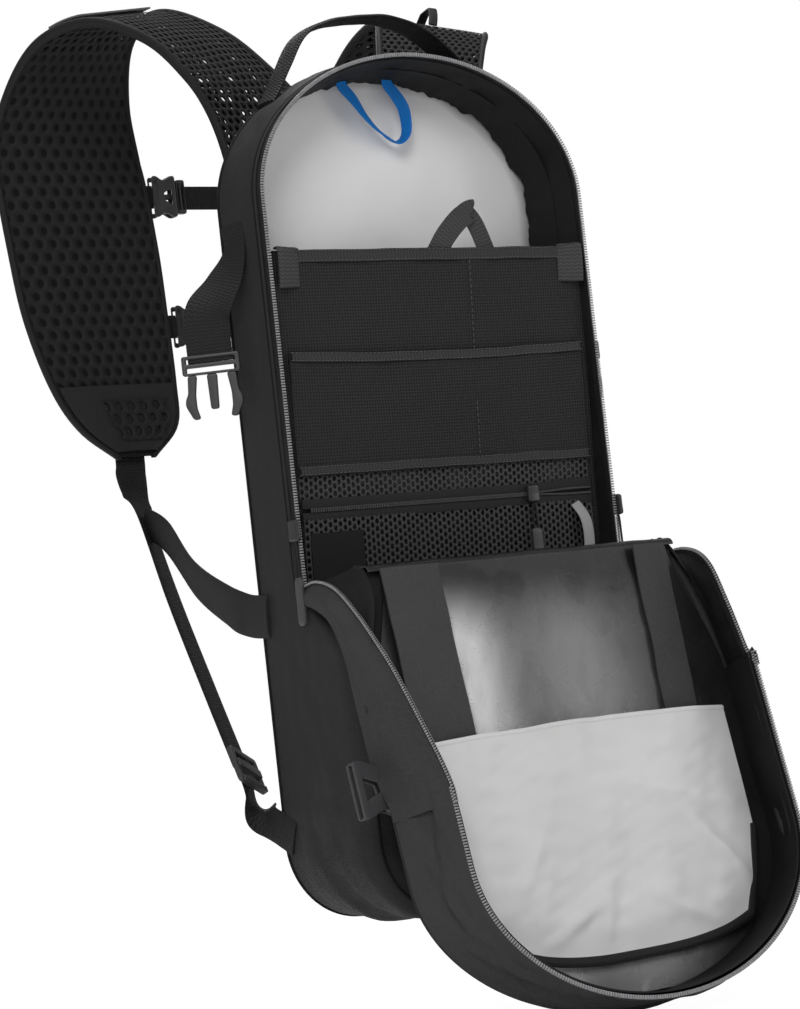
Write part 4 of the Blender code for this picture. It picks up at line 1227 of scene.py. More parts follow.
class PACK_OT_small_zips(PackOperator, bpy.types.Operator):
    """The organiser's zip, the sliders, the cord pulls and the key strap."""
    bl_idname = "hydration_pack.small_zips"
    bl_label = "Sliders and pulls"

    def build(self, sizes):
        x = np.linspace(-ORG_ZIP_HALF, ORG_ZIP_HALF, 150)
        strips = []
        for low, high in ((-0.0062, -0.0011), (0.0011, 0.0062)):
            gape = smoothstep(0.058, 0.085, x) * 0.0009
            middle = ORG_ZIP_Z + (low + high) / 2.0 + np.sign(low) * gape
            line = organiser_place(x, middle, 0.0040)
            strips.append(band(line, (0.0, 0.0, 1.0), (high - low) / 2.0, 0.0009, across=5))
        add_piece("organiser_zip_cloth", joined(*strips), "zip_tape", "pack",
                  ("organiser_zip_tape",))
        spots = np.linspace(-0.093, 0.097, int(0.19 / sizes.tooth_pitch))
        gape = smoothstep(0.055, 0.085, spots) * 0.0009
        axes = (np.tile(axis, (len(spots), 1)) for axis in ([1.0, 0.0, 0.0], [0.0, 0.0, 1.0],
                                                            [0.0, -1.0, 0.0]))
        ahead, across, out = axes
        rows = [blocks(organiser_place(spots, ORG_ZIP_Z + sign * (0.0006 + gape), 0.0044),
                       ahead, across, out, tooth(sizes, 0.0012, 0.0009))
                for sign in (-1.0, 1.0)]
        add_piece("organiser_zip_coil", joined(*rows), "black_coil", "pack", sharp=TEETH_SHARP)
        self.add_sliders()
        self.add_key_strap()

    def add_sliders(self):
        """Each slider fills its solid; its pull is a cord loop and, below that, a moulded tab."""
        for slider, body, facing in (
                ("organiser_zip_slider", "organiser_slider", "front"),
                ("main_zip_slider_left", "main_slider_left", "side"),
                ("main_zip_slider_right", "main_slider_right", "side")):
            top, size = top_and_size(slider)
            width, depth = size[:2] if facing == "front" else size[1::-1]
            add_piece(slider + "_shell", moulded_tab(top, size[2], width, depth, facing),
                      "slider_metal", body, (slider,), weld=True)
            pull, pull_body = (word.replace("slider", "pull") for word in (slider, body))
            top, size = top_and_size(pull)
            tab_top = top - [0.0, 0.0, size[2] * 0.42]
            loop = cord_loop(top - [0.0, 0.0, 0.001], tab_top - [0.0, 0.0, 0.002], 0.0026, 0.0013)
            add_piece(pull + "_cord", loop, "pull_cord", pull_body, weld=True)
            tab = moulded_tab(tab_top, size[2] * 0.58, 0.0072, 0.0030, facing)
            add_piece(pull + "_tab", tab, "pull_plastic", pull_body, (pull,), weld=True)

    def add_key_strap(self):
        """A pale ribbon that hangs from the zip and a clip with an open eye."""
        (x, y, top), size = top_and_size("key_strap")
        end = top - size[2]
        path = curve([(x - 0.0030, y - 0.0002, top - 0.0004), (x + 0.0010, y - 0.0030, top - 0.010),
                      (x + 0.0022, y - 0.0030, top - 0.022), (x + 0.0016, y - 0.0010, end)], 40)
        add_piece("key_ribbon", band(path, (1.0, 0.12, 0.0), 0.0040, 0.0012), "key_ribbon",
                  "key_keeper", ("key_strap",))
        ring = [(x + 0.0016 + 0.0042 * math.sin(a), y - 0.0008,
                 end - 0.0085 + 0.0088 * math.cos(a)) for a in np.linspace(0.0, 2 * math.pi, 41)]
        add_piece("key_clip_ring", tube(ring[:-1], 0.0020, side=(0.0, 1.0, 0.0), closed=True),
                  "clip_metal", "key_keeper", ("key_clip",), weld=True)


# ---------------------------------------------------------------- front panel

# The pocket's creases: start in x and z, turn, width, reach and depth
POCKET_CREASES = (
    (-0.060, 0.200, 0.55, 0.0050, 0.090, 0.0050), (-0.070, 0.170, 0.90, 0.0045, 0.070, 0.0036),
    (0.070, 0.205, -0.50, 0.0050, 0.080, 0.0048), (0.080, 0.170, -0.85, 0.0050, 0.075, 0.0040),
    (0.090, 0.135, -0.25, 0.0070, 0.110, 0.0034), (-0.020, 0.205, 1.30, 0.0060, 0.070, 0.0030))


def panel_reach(y):
    """How much wider the front panel is at a depth than at its zip, as a factor on x."""
    return 1.0 + 0.0138 / HALF_WIDTH * np.clip((PANEL_RIM_Y - y) / (PANEL_RIM_Y - FRONT_Y), 0, 1)


def panel_line(inset, count):
    """The panel's outline from its left wall's start, over the arch, to its right wall's start."""
    return arch_line(inset, WALL_START_Z[-1.0], count, WALL_START_Z[1.0])


def panel_rows(inset, count, reach):
    """A square grid of x and z that fills the arch above the fold, as rows of its width."""
    v = np.linspace(0.0, 1.0, count)[:, None]
    u = np.linspace(-1.0, 1.0, count)[None, :]
    top = TOP_Z - inset
    z = PANEL_START_Z + (top - 0.0015 - PANEL_START_Z) * np.sin(v * math.pi / 2.0) ** 0.85
    rise = np.clip((z - SPRING_Z) / (top - SPRING_Z), 0.0, 0.9999)
    x = (HALF_WIDTH - inset) * reach * np.sqrt(1.0 - rise ** 2) * u
    return np.broadcast_arrays(x, z, u, v)


class PACK_OT_front_panel(PackOperator, bpy.types.Operator):
    """Walls, outer face, lining, seam tapes, pocket and zip of the front panel."""
    bl_idname = "hydration_pack.front_panel"
    bl_label = "Front panel"

    def build(self, sizes):
        self.add_wall(sizes)
        self.add_face()
        self.add_gusset()
        self.add_lining()
        self.add_tapes()
        self.add_pocket()
        self.add_zip(sizes)

    def add_wall(self, sizes):
        """The side wall stands out from the zip to the outer face, which bulges a little."""
        path = panel_line(0.0, 360)
        depth = np.linspace(0.0, 1.0, 20)[None, :]
        y = PANEL_RIM_Y + (FRONT_Y + 0.003 - PANEL_RIM_Y) * depth
        inset = 0.0007 * np.ones((len(path), 20))
        P = ring_surface(path, outward(path), inset, y) * [1.0, 3.2, 1.0]
        folds = ripple(P, 0.075, 51) + 0.35 * ripple(P, 0.026, 52)
        lift = np.sin(depth * math.pi) * sizes.wrinkle * 1.3 * folds
        P = ring_surface(path, outward(path), inset, y, lift)
        P[..., 0] *= panel_reach(P[..., 1])
        add_piece("panel_wall", slab(opened(P), CLOTH), "wall_cloth", "front_panel",
                  ("front_panel_shell",))

    def add_face(self):
        """The outer face, which is the underside of the open panel."""
        x, z, u, v = panel_rows(0.0012, 70, panel_reach(FRONT_Y))
        bulge = (1.0 - u ** 6) * np.sin(np.clip(v * 1.1, 0.0, 1.0) * math.pi) ** 0.6
        y = FRONT_Y + 0.0016 - bulge * (0.0030 + 0.0012 * ripple(points(x, 0, z), 0.06, 53))
        face = points(x * fold_taper(z), y, z)
        add_piece("panel_face", slab(opened(face[:, ::-1]), CLOTH), "body_cloth", "front_panel")

    def add_gusset(self):
        """A dark layer inside the wall, drawn in from it and creased."""
        path = panel_line(0.0, 360)
        t = np.linspace(0.0, 1.0, 16)[None, :]
        y = PANEL_RIM_Y - 0.0012 + (FRONT_Y + 0.0075 - PANEL_RIM_Y) * t
        crease = ripple(points(path[:, 0], 0, path[:, 1]), 0.045, 54)[:, None]
        inset = 0.0035 + 0.0020 * t + crease * np.sin(math.pi * t) * 0.0016
        P = ring_surface(path, outward(path), inset, y)
        P[..., 0] *= panel_reach(P[..., 1])
        add_piece("panel_gusset", slab(opened(P), LINING), "inner_cloth", "front_panel")

    def add_lining(self):
        """The coated lining lies loose on the outer face and crumples between its seams."""
        x, z, u, v = panel_rows(0.0062, 120, panel_reach(FRONT_Y + 0.004))
        flat = points(x, 0, z)
        folds = (ripple(flat * [1.0, 1.0, 0.6], 0.050, 55)
                 + 0.40 * ripple(flat * [1.0, 1.0, 1.4], 0.020, 56))
        free = (1.0 - u ** 8) * smoothstep(0.0, 0.05, v) * smoothstep(0.24, 0.19, z)
        y = FRONT_Y + 0.0062 + free * (0.0012 + 0.0011 * folds)
        sheet = points(x * fold_taper(z), y, z)
        lining = add_piece("panel_lining", slab(opened(sheet), LINING), "coated_lining",
                           "front_panel", ("front_panel_lining",))
        closed = np.concatenate([sheet, sheet[:, ::-1]], axis=1).reshape(-1, 3)
        # The lit mask paints a reflection on the coated lining: a bright band on the left and a
        # weaker one in the middle, fading to painted shade towards the fold
        left = np.exp(-(np.maximum(closed[:, 0] + 0.058, 0.0) / 0.024) ** 2)
        left *= smoothstep(-0.066, -0.058, closed[:, 0])
        middle = 0.34 * np.exp(-((closed[:, 0] - 0.012) / 0.038) ** 2)
        down = smoothstep(PANEL_START_Z + 0.006, PANEL_START_Z + 0.050, closed[:, 2])
        set_share(lining, "lit", (left + middle) * down + 0.02)

    def add_tapes(self):
        """Two seam tapes run up the lining from the fold, each leaning a little."""
        for name, x0, x1, turn in (("left", -0.0960, -0.0600, -0.004),
                                   ("right", 0.0720, 0.0940, -0.010)):
            w = np.linspace(0.0, 1.0, 10)[None, :]
            h = np.linspace(PANEL_START_Z, FOLD_Z + 0.1240, 70)[:, None]
            x = x0 + (x1 - x0) * w + turn * (h - FOLD_Z) / 0.124
            wave = ripple(points(x, 0, h), 0.05, 57)
            y = FRONT_Y + 0.0098 + 0.0007 * wave + 0.0006 * np.sin(math.pi * w)
            add_piece("seam_tape_" + name, slab(opened(points(x, y, h)), 0.0011), "seam_tape",
                      "front_panel",
                      ("front_panel_seam_tape_" + name,))

    def add_pocket(self):
        """The pale pocket: a cloth as wide as the panel, held at its low edge by a binding."""
        v = np.linspace(0.0, 1.0, 110)[:, None]
        u = np.linspace(-1.0, 1.0, 110)[None, :]
        top, base = FOLD_Z + 0.1185, FOLD_Z + 0.2440
        spread = np.interp(v, (0.0, 0.35, 0.55, 0.75, 0.90, 1.0),
                           (0.1000, 0.0975, 0.0955, 0.0880, 0.0805, 0.0760))
        x = spread * u + 0.012 * v * 0.4
        rim = 0.0022 * u ** 2 * (1.0 - v)
        z = top + rim + (base - top - rim) * v - 0.010 * np.abs(u) ** 3.0 * v ** 4
        flat = points(x, 0, z)
        drape = (ripple(flat * [1.0, 1.0, 0.45], 0.052, 61)
                 + 0.5 * ripple(flat * [0.7, 1.0, 1.2], 0.026, 62))
        free = (1.0 - u ** 6) * smoothstep(1.0, 0.8, v)
        creases = sum(
            depth * np.exp(-(((x - x0) * math.sin(turn) + (z - z0) * math.cos(turn)) / wide) ** 2)
            * smoothstep(reach, 0.0, np.hypot(x - x0, z - z0))
            for x0, z0, turn, wide, reach, depth in POCKET_CREASES)
        y = FRONT_Y + 0.0122 + free * (0.0030 + 0.0026 * drape + creases)
        P = points(x, y, z)
        pocket = add_piece("panel_pocket", slab(opened(P), LINING), "pocket_cloth", "front_panel",
                           ("front_panel_pocket",))
        edge = np.vstack([P[60:, 0], P[-1, 1:-1], P[60:, -1][::-1]])
        edge = even(opened(edge + [0.0, 0.0003, 0.0]), 260)
        side = opened_out([[0.0, 1.0, 0.0]])[0]
        hem = add_piece("pocket_hem", tube(edge, 0.0022, 0.0056, side=side), "binding",
                        "front_panel", ("pocket_binding",), weld=True)
        hem_top = even(opened(P[0] + [0.0, 0.0002, 0.0]), 160)
        top_hem = add_piece("pocket_top_hem", tube(hem_top, 0.0018, 0.0030, side=side),
                            "pocket_cloth", "front_panel", weld=True)

    def add_zip(self, sizes):
        """The panel's half of the main zip along its rim."""
        path = panel_line(0.0006, 340)
        out = outward(path)
        y = np.linspace(PANEL_RIM_Y - 0.0090, PANEL_RIM_Y, 7)[None, :]
        P = ring_surface(path, out, 0.0004 * np.ones((len(path), 7)), y)
        add_piece("panel_zip_tape", slab(opened(P[:, ::-1]), TAPE), "zip_tape", "front_panel",
                  ("front_panel_zip_tape",))
        add_teeth(sizes, path, out, PANEL_RIM_Y, 1.0, "panel_zip_teeth", "front_panel",
                  opened, opened_out)


class PACK_OT_fold(PackOperator, bpy.types.Operator):
    """The cloth at the fold: a crest, and on each side a zip, a wall and a gusset."""
    bl_idname = "hydration_pack.fold"
    bl_label = "Fold"

    def build(self, sizes):
        self.add_crest()
        for side, name in ((-1.0, "left"), (1.0, "right")):
            self.add_side(sizes, side, name)

    def add_crest(self):
        """Two layers rolled over the fold, outer cloth below and coated lining on top.
        """
        x = np.linspace(-1.0, 1.0, 90)
        face_start, lining_start = (opened([0.0, FRONT_Y + y, PANEL_START_Z + 0.0004])
                                    for y in (0.0016, 0.0062))
        for name, half, first, last, rise, material in (
                ("fold_outer", HALF_WIDTH - 0.0065, (FRONT_Y + 0.0012, POUCH_TOP_Z - 0.001),
                 face_start[1:], 0.0012, "wall_cloth"),
                ("fold_lining", HALF_WIDTH - 0.0060, (FRONT_Y + 0.0085, POUCH_TOP_Z - 0.006),
                 lining_start[1:], 0.0062, "coated_lining")):
            turn = np.linspace(0.0, math.pi, 22)
            share = (1.0 - np.cos(turn)) / 2.0
            y = first[0] + (last[0] - first[0]) * share
            z = first[1] + (last[1] - first[1]) * share + np.sin(turn) * rise
            P = points((x * half)[:, None], y, z)
            P[..., 2] += 0.0009 * ripple(P, 0.045, 91) * np.sin(turn)
            crest = add_piece(name, slab(P[::-1], LINING), material, None)
            # The lining at the fold gets no painted reflection: a lit mask of zero shows it as
            # painted shade, near black
            if name == "fold_lining":
                set_share(crest, "lit", np.zeros(len(crest.data.vertices)))
            tuple(SHIFT + (0.0, *first))
            tuple(SHIFT + (0.0, *last))
            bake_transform(crest)

    def add_side(self, sizes, side, name):
        """The zip leaves the body's rim, sags round the fold and meets the panel's rim.

        A wall runs from it to the outer cloth's edge and a gusset to the lining's. All are worked
        out for the left side, mirrored, and cut in two rigid runs at SPLIT_Y.
        """
        top = WALL_START_Z[side]
        joint, after = (opened([-HALF_WIDTH + 0.0006, PANEL_RIM_Y, z])
                        for z in (top, top + FOLD_LAP))
        count = 90
        if side < 0.0:
            keys = [(-0.1078, -0.0484, -0.0643), (-0.1090, -0.0655, -0.0623),
                    (-0.1100, -0.0846, -0.0674), (-0.1105, -0.1035, -0.0813),
                    (-0.1105, -0.1198, -0.0975), (-0.1100, -0.1331, -0.1132),
                    (-0.1085, -0.1522, -0.1422), (-0.1078, -0.1633, -0.1592), joint, after]
            seam = [(-0.1090, -0.0448, -0.0705), (-0.1120, -0.0638, -0.0743),
                    (-0.1155, -0.0843, -0.0828), (-0.1185, -0.0996, -0.1003),
                    (-0.1205, -0.1081, -0.1177), (-0.1215, -0.1158, -0.1395),
                    (-0.1217, -0.1225, -0.1620)]
        else:
            keys = [(-0.1074, -0.0502, POUCH_TOP_Z - 0.0015), (-0.1085, -0.0570, -0.0650),
                    (-0.1095, -0.0800, -0.0660), (-0.1085, -0.1080, -0.0640),
                    (-0.1060, -0.1290, -0.0720), (-0.1060, -0.1420, -0.0960),
                    (-0.1075, -0.1540, -0.1270), joint, after]
            seam = [(-0.1060, -0.0900, -0.0800), (-0.1100, -0.0985, -0.0700),
                    (-0.1170, -0.1010, -0.0680),
                    *opened([[-HALF_WIDTH - 0.0130, FRONT_Y + 0.004, 0.030]])]
        zip_line = curve(keys, count)
        edge = curve([*seam, *opened([[-HALF_WIDTH - 0.0135, FRONT_Y + 0.0035, top],
                                      [-HALF_WIDTH - 0.0130, FRONT_Y + 0.0035, top + FOLD_LAP]])],
                     count)
        lining = curve([(-HALF_WIDTH + 0.0075, -0.0890, POUCH_TOP_Z - 0.0040),
                        (-HALF_WIDTH + 0.0075, -0.0945, POUCH_TOP_Z + 0.0050),
                        (-HALF_WIDTH + 0.0070, -0.1010, POUCH_TOP_Z + 0.0040),
                        *opened([[-HALF_WIDTH + 0.0045, FRONT_Y + 0.0080, PANEL_START_Z + 0.014],
                                 [-HALF_WIDTH - 0.0035, FRONT_Y + 0.0080, 0.026],
                                 [-HALF_WIDTH - 0.0080, FRONT_Y + 0.0080, 0.060],
                                 [-HALF_WIDTH - 0.0075, FRONT_Y + 0.0078, top + FOLD_LAP]])], count)
        mirror = np.array([-side, 1.0, 1.0])
        share = np.linspace(0.0, 1.0, count)[:, None, None]
        t = np.linspace(0.0, 1.0, 20)[None, :, None]
        turned = np.linspace(0.15, 1.0, 6)[None, :, None]
        split = int(np.argmax(zip_line[:, 1] < SPLIT_Y))
        runs = (("body", slice(0, split + 1), "pack"),
                ("panel", slice(split, count), "front_panel"))
        for part, low, bulge, seed, material in (("wall", edge, 0.0034, 92, "wall_cloth"),
                                                 ("gusset", lining, -0.0016, 93, "inner_cloth")):
            P = zip_line[:, None] * (1.0 - t) + low[:, None] * t
            if part == "wall":
                tuck = lining[:, None] * [0.985, 1.0, 1.0] + [0.0, 0.0060, 0.0]
                P = np.concatenate([P, low[:, None] * (1.0 - turned) + tuck * turned], axis=1)
            wave = ripple(P * [1.0, 1.0, 2.0], 0.040, seed)[..., None] * 0.0014
            out = np.array([-1.0, 0.0, 0.0])
            P[:, :20] += out * np.sin(math.pi * t) ** 2 * np.sin(math.pi * share) ** 0.5 * (
                bulge + wave[:, :20])
            P = P * mirror
            if (side > 0.0) != (part == "gusset"):
                P = P[:, ::-1]
            for where, run, body in runs:
                add_piece("_".join(("fold", part, name, where)), slab(P[run], 0.0012),
                          material, body)
        line = zip_line * mirror
        wide = np.cross(along(line), [side, 0.0, 0.0])
        spots = even(line, int(travel(line)[-1] / sizes.tooth_pitch))
        ahead = along(spots)
        out = unit(np.cross(ahead, [side, 0.0, 0.0]))
        out = np.where((out[:, 2] < out[:, 1])[:, None], -out, out)
        across = unit(np.cross(out, ahead))
        past_split = spots[:, 1] < SPLIT_Y
        for where, run, body in runs:
            add_piece("_".join(("fold_zip_tape", name, where)),
                      band(line[run], wide[run], 0.0030, 0.0010), "zip_tape", body)
            own = past_split if body == "front_panel" else ~past_split
            teeth = blocks((spots + out * TEETH_PROUD)[own], ahead[own], across[own], out[own],
                           tooth(sizes))
            add_piece("_".join(("fold_zip_teeth", name, where)), teeth, "zip_coil", body,
                      sharp=TEETH_SHARP)


# ---------------------------------------------------------------- straps and webbing

# x, y and z of the left strap's middle, its width direction and its half width
STRAP_KEYS = np.array([
    (-0.057, 0.0158, 0.150, 1.0, 0.0, 0.0, 0.030), (-0.057, 0.0158, 0.185, 1.0, 0.0, 0.0, 0.033),
    (-0.060, 0.024, 0.216, 1.0, 0.0, 0.0, 0.034), (-0.071, 0.036, 0.242, 0.97, 0.20, 0.12, 0.034),
    (-0.087, 0.054, 0.267, 0.93, 0.32, 0.16, 0.035),
    (-0.108, 0.083, 0.284, 0.90, 0.38, 0.20, 0.037),
    (-0.116, 0.122, 0.278, 0.93, 0.30, 0.12, 0.042),
    (-0.115, 0.155, 0.250, 0.98, 0.16, 0.04, 0.047),
    (-0.110, LOBE_Y, 0.215, 1.0, 0.0, 0.0, 0.050), (-0.105, LOBE_Y, 0.165, 1.0, 0.0, 0.0, 0.051),
    (-0.101, LOBE_Y, 0.120, 1.0, 0.0, 0.0, 0.049), (-0.094, LOBE_Y, 0.078, 1.0, 0.0, 0.0, 0.043),
    (-0.087, LOBE_Y, 0.052, 1.0, 0.0, 0.0, 0.034), (-0.084, LOBE_Y, 0.034, 1.0, 0.0, 0.0, 0.014)])
SIDES = ((1.0, "left"), (-1.0, "right"))


def ribbon_keys(keys, side, count):
    """Stations between keys of place, width direction and half width, on either side."""
    path = curve(keys, count)
    path[:, 3:6] = unit(path[:, 3:6])
    if side < 0.0:
        path = path * [-1.0, 1.0, 1.0, 1.0, -1.0, -1.0, 1.0]
    return path[:, :3], path[:, 3:6], path[:, 6]


def strap_rows(side, count):
    """A vest strap's stations: place, width direction, half width and the way out of its face."""
    path, across, half = ribbon_keys(STRAP_KEYS, side, count)
    path[:, 1] = np.clip(path[:, 1], 0.0158, LOBE_Y)
    return path, across, half, -unit(np.cross(along(path), across))


def strap_layer(rows, part, inset, u, rise):
    """A layer over some stations: u from edge to edge, an inset there, a rise out of the face."""
    path, across, half, out = (row[part] for row in rows)
    rise = np.broadcast_to(rise, (len(path), len(u)))
    return (path[:, None] + across[:, None] * ((half - inset)[:, None] * u)[..., None]
            + out[:, None] * rise[..., None])


def web(keys, side, count, thickness, crown=0.0):
    """Webbing along listed keys."""
    path, across, half = ribbon_keys(keys, side, count)
    return band(path, across, half, thickness, crown=crown)


class PACK_OT_vest_straps(PackOperator, bpy.types.Operator):
    """The two vest straps: mesh outside and inside, a dark core, bound edges and their trim."""
    bl_idname = "hydration_pack.vest_straps"
    bl_label = "Vest straps"

    def build(self, sizes):
        u = np.linspace(-1.0, 1.0, 25)
        share = np.linspace(0.0, 1.0, 150)
        full = 0.0005 + 0.0022 * smoothstep(0.40, 0.62, share) * smoothstep(1.0, 0.92, share)
        for side, name in SIDES:
            rows = strap_rows(side, 150)
            path, across, half, out = rows
            for layer, sign, stands_for in (("outer", 1.0, ("shoulder_strap_" + name,)),
                                            ("inner", -1.0, ())):
                puff = (0.0012 + full[:, None] * (1.0 - u ** 4)) * sign
                P = strap_layer(rows, slice(None), 0.0022, u, puff)
                wave = 0.0010 * ripple(P, 0.045, 71) * smoothstep(0.45, 0.25, share)[:, None]
                P = P + out[:, None] * wave[..., None]
                add_piece("strap_" + layer + "_" + name, slab(P, LINING), "strap_mesh_" + layer,
                          "pack", stands_for)
            P = strap_layer(rows, slice(72, 149), 0.0040, u, 0.0)
            add_piece("strap_core_" + name, slab(P, 0.0016), "strap_core", "pack")
            for edge, end in ((-1.0, "a"), (1.0, "b")):
                line = path + across * (half - 0.0020)[:, None] * edge
                add_piece("strap_edge_" + end + "_" + name,
                          tube(line, 0.0040, 0.0062, side=across, around=10), "strap_binding",
                          "pack", weld=True)
            self.add_end(name, rows, u)
        self.add_trim()

    def add_end(self, name, rows, u):
        """The smooth panel over the lobe's low end, on the face towards the pack."""
        P = strap_layer(rows, slice(135, 149), 0.0042, u, -(0.0030 + 0.0022 * (1.0 - u ** 4)))
        add_piece("strap_end_" + name, slab(P[:, ::-1], 0.0011), "body_cloth", "pack")
        P = strap_layer(rows, slice(138, 147), 0.0, np.linspace(-0.35, 0.75, 12), -0.0064)
        add_piece("strap_end_net_" + name, slab(P[:, ::-1], TAPE), "strap_mesh_inner", "pack")

    def add_trim(self):
        """The bare label band on the left strap and the elastic keeper on the right one."""
        rows = strap_rows(1.0, 300)
        part = slice(*np.searchsorted(rows[0][:, 1], (0.087, 0.112)))
        P = strap_layer(rows, part, 0.0045, np.linspace(-1.0, 1.0, 21), 0.0046)
        add_piece("strap_label", slab(P[:, ::-1], 0.0011), "label_cloth", "pack",
                  ("strap_label_band",))
        path, across, _, out = strap_rows(-1.0, 300)
        rise = np.interp(np.arange(100, 126), (100, 103, 108, 117, 122, 125),
                         (0.0036, 0.0075, 0.0130, 0.0130, 0.0075, 0.0036))
        line = path[100:126] + out[100:126] * rise[:, None]
        add_piece("elastic_keeper", band(curve(line, 60), across[112], 0.0028, 0.0013), "elastic",
                  "pack", ("strap_elastic_keeper",))


class PACK_OT_webbing(PackOperator, bpy.types.Operator):
    """Lower straps, wings, anchors, compression and sternum webbing, and the grab handle."""
    bl_idname = "hydration_pack.webbing"
    bl_label = "Webbing and handle"

    def build(self, sizes):
        wall = -HALF_WIDTH - 0.0011
        for side, name in SIDES:
            lower = [(-0.086, WEB_Y, 0.062, 1, 0, 0, 0.010),
                     (-0.086, WEB_Y, 0.046, 1, 0, 0, 0.010),
                     (-0.086, WEB_Y, 0.030, 1, 0, 0, 0.010),
                     (-0.087, WEB_Y - 0.001, 0.022, 1, 0, 0, 0.010),
                     (-0.091, 0.165, 0.008, 0.93, 0.37, 0.0, 0.010),
                     (*FORK, *LOCK_TILT, 0.010),
                     (*(FORK * 0.66 + LOCK * 0.34 + [0, 0.003, 0]), *LOCK_TILT, 0.010),
                     (*(FORK * 0.33 + LOCK * 0.67 + [0, 0.002, 0]), *LOCK_TILT, 0.010),
                     (*LOCK, *LOCK_TILT, 0.010)]
            add_piece("lower_strap_" + name, web(lower, side, 160, WEB), "strap_webbing", "pack",
                      ("lower_webbing_" + name,))
            wing = [(-0.0945, 0.1480, -0.0080, 0.1, 0.5, 1.0, 0.009),
                    (-0.0987, 0.1153, -0.0203, 0.1, 0.4, 1.0, 0.0095),
                    (-0.1072, 0.0704, -0.0482, 0.0, 0.3, 1.0, 0.0105),
                    (-0.1112, 0.0271, -0.0663, 0.0, 0.2, 1.0, 0.0115),
                    (wall - 0.0004, 0.0083, -0.0732, 0.0, 0.1, 1.0, 0.012),
                    (wall - 0.0004, -0.0123, -0.0752, 0.0, 0.0, 1.0, 0.012)]
            add_piece("side_wing_" + name, web(wing, side, 90, 0.0018, crown=0.0008), "body_cloth",
                      "pack", ("lower_wing_" + name,))
            anchor = [(*(LOCK + [0.0006, -0.0015, -0.002]), *LOCK_TILT, 0.010),
                      (-0.1120, 0.0225, -0.178, 0.55, 0.80, 0.3, 0.010),
                      (wall - 0.0010, 0.0100, -0.1875, 0.0, 0.6, 1.0, 0.010),
                      (wall - 0.0003, -0.003, -0.193, 0.0, 0.5, 1.0, 0.010),
                      (wall - 0.0003, -0.014, -0.198, 0.0, 0.5, 1.0, 0.010)]
            add_piece("anchor_strap_" + name, web(anchor, side, 70, WEB), "strap_webbing", "pack",
                      ("anchor_webbing_" + name,))
            cinch = [(wall, -0.016, 0.142, 0, -1, 0, 0.0125),
                     (wall, -0.016, 0.128, 0, -1, 0, 0.0125),
                     (wall - 0.0074, -0.015, 0.112, 0.45, -0.9, 0, 0.0125),
                     (-0.128, -0.014, 0.096, 0.8, -0.6, 0, 0.0125),
                     (-0.130, -0.014, 0.084, 0.8, -0.6, 0, 0.0125),
                     (-0.130, -0.014, 0.0668, 0.8, -0.6, 0, 0.0125)]
            add_piece("cinch_strap_" + name, web(cinch, side, 90, 0.0016), "strap_webbing", "pack",
                      ("compression_webbing_" + name,))
        self.add_sternum()
        self.add_handle()

    def add_sternum(self):
        """Each sternum strap's anchor webbing and its long webbing."""
        for name, z, end in STERNUM:
            behind = WEB_Y + 0.0031
            anchor = ((end - 0.030, WEB_Y), (end - 0.015, WEB_Y), (end + 0.001, WEB_Y))
            long = ((end + PLUG_REACH - 0.006, behind), (0.0, behind), (0.020, behind),
                    (0.040, WEB_Y + 0.0002), (0.060, WEB_Y), (0.084, WEB_Y))
            for route, half, count, piece, node in (
                    (anchor, 0.0072, 24, "_anchor_strap", "_sternum_anchor"),
                    (long, 0.0074, 80, "_long_strap", "_sternum_webbing")):
                keys = [(x, y, z, 0, 0, 1, half) for x, y in route]
                add_piece(name + piece, web(keys, 1.0, count, WEB), "strap_webbing",
                          name + "_sternum", (name + node,))

    def add_handle(self):
        """The grab handle: a doubled webbing that rises over the arch."""
        route = [(-0.0760, -0.012, 0.2112), (-0.0705, -0.012, 0.2190), (-0.0620, -0.012, 0.2330),
                 (-0.0510, -0.012, 0.2490), (-0.0340, -0.012, 0.2575), (-0.0120, -0.012, 0.2615),
                 (0.0100, -0.012, 0.2620), (0.0300, -0.012, 0.2560), (0.0450, -0.012, 0.2455),
                 (0.0580, -0.012, 0.2330), (0.0700, -0.012, 0.2185), (0.0760, -0.012, 0.2112)]
        path = curve(route, 150)
        lift = 0.0010 * ripple(path, 0.05, 81)
        path[:, 2] += lift * smoothstep(0.213, 0.225, path[:, 2])
        add_piece("grab_webbing", band(path, (0.0, 1.0, 0.0), 0.0100, 0.0026, crown=0.0006),
                  "strap_webbing", "pack", ("grab_handle",))


# ---------------------------------------------------------------- buckles

def rounded(corners, radius, steps=6):
    """A polygon with each corner replaced by a short curve that starts a radius away."""
    keys = np.asarray(corners, float)
    t = np.linspace(0.0, 1.0, steps)[:, None]
    rows = []
    for i, corner in enumerate(keys):
        back, ahead = keys[i - 1] - corner, keys[(i + 1) % len(keys)] - corner
        a = corner + back * min(radius / np.linalg.norm(back), 0.49)
        b = corner + ahead * min(radius / np.linalg.norm(ahead), 0.49)
        rows.append((1.0 - t) ** 2 * a + 2.0 * t * (1.0 - t) * corner + t ** 2 * b)
    return np.vstack(rows)


def bar(x0, x1, y0, y1, radius=0.0008):
    """A rectangle with rounded corners."""
    return rounded([(x0, y0), (x1, y0), (x1, y1), (x0, y1)], radius)


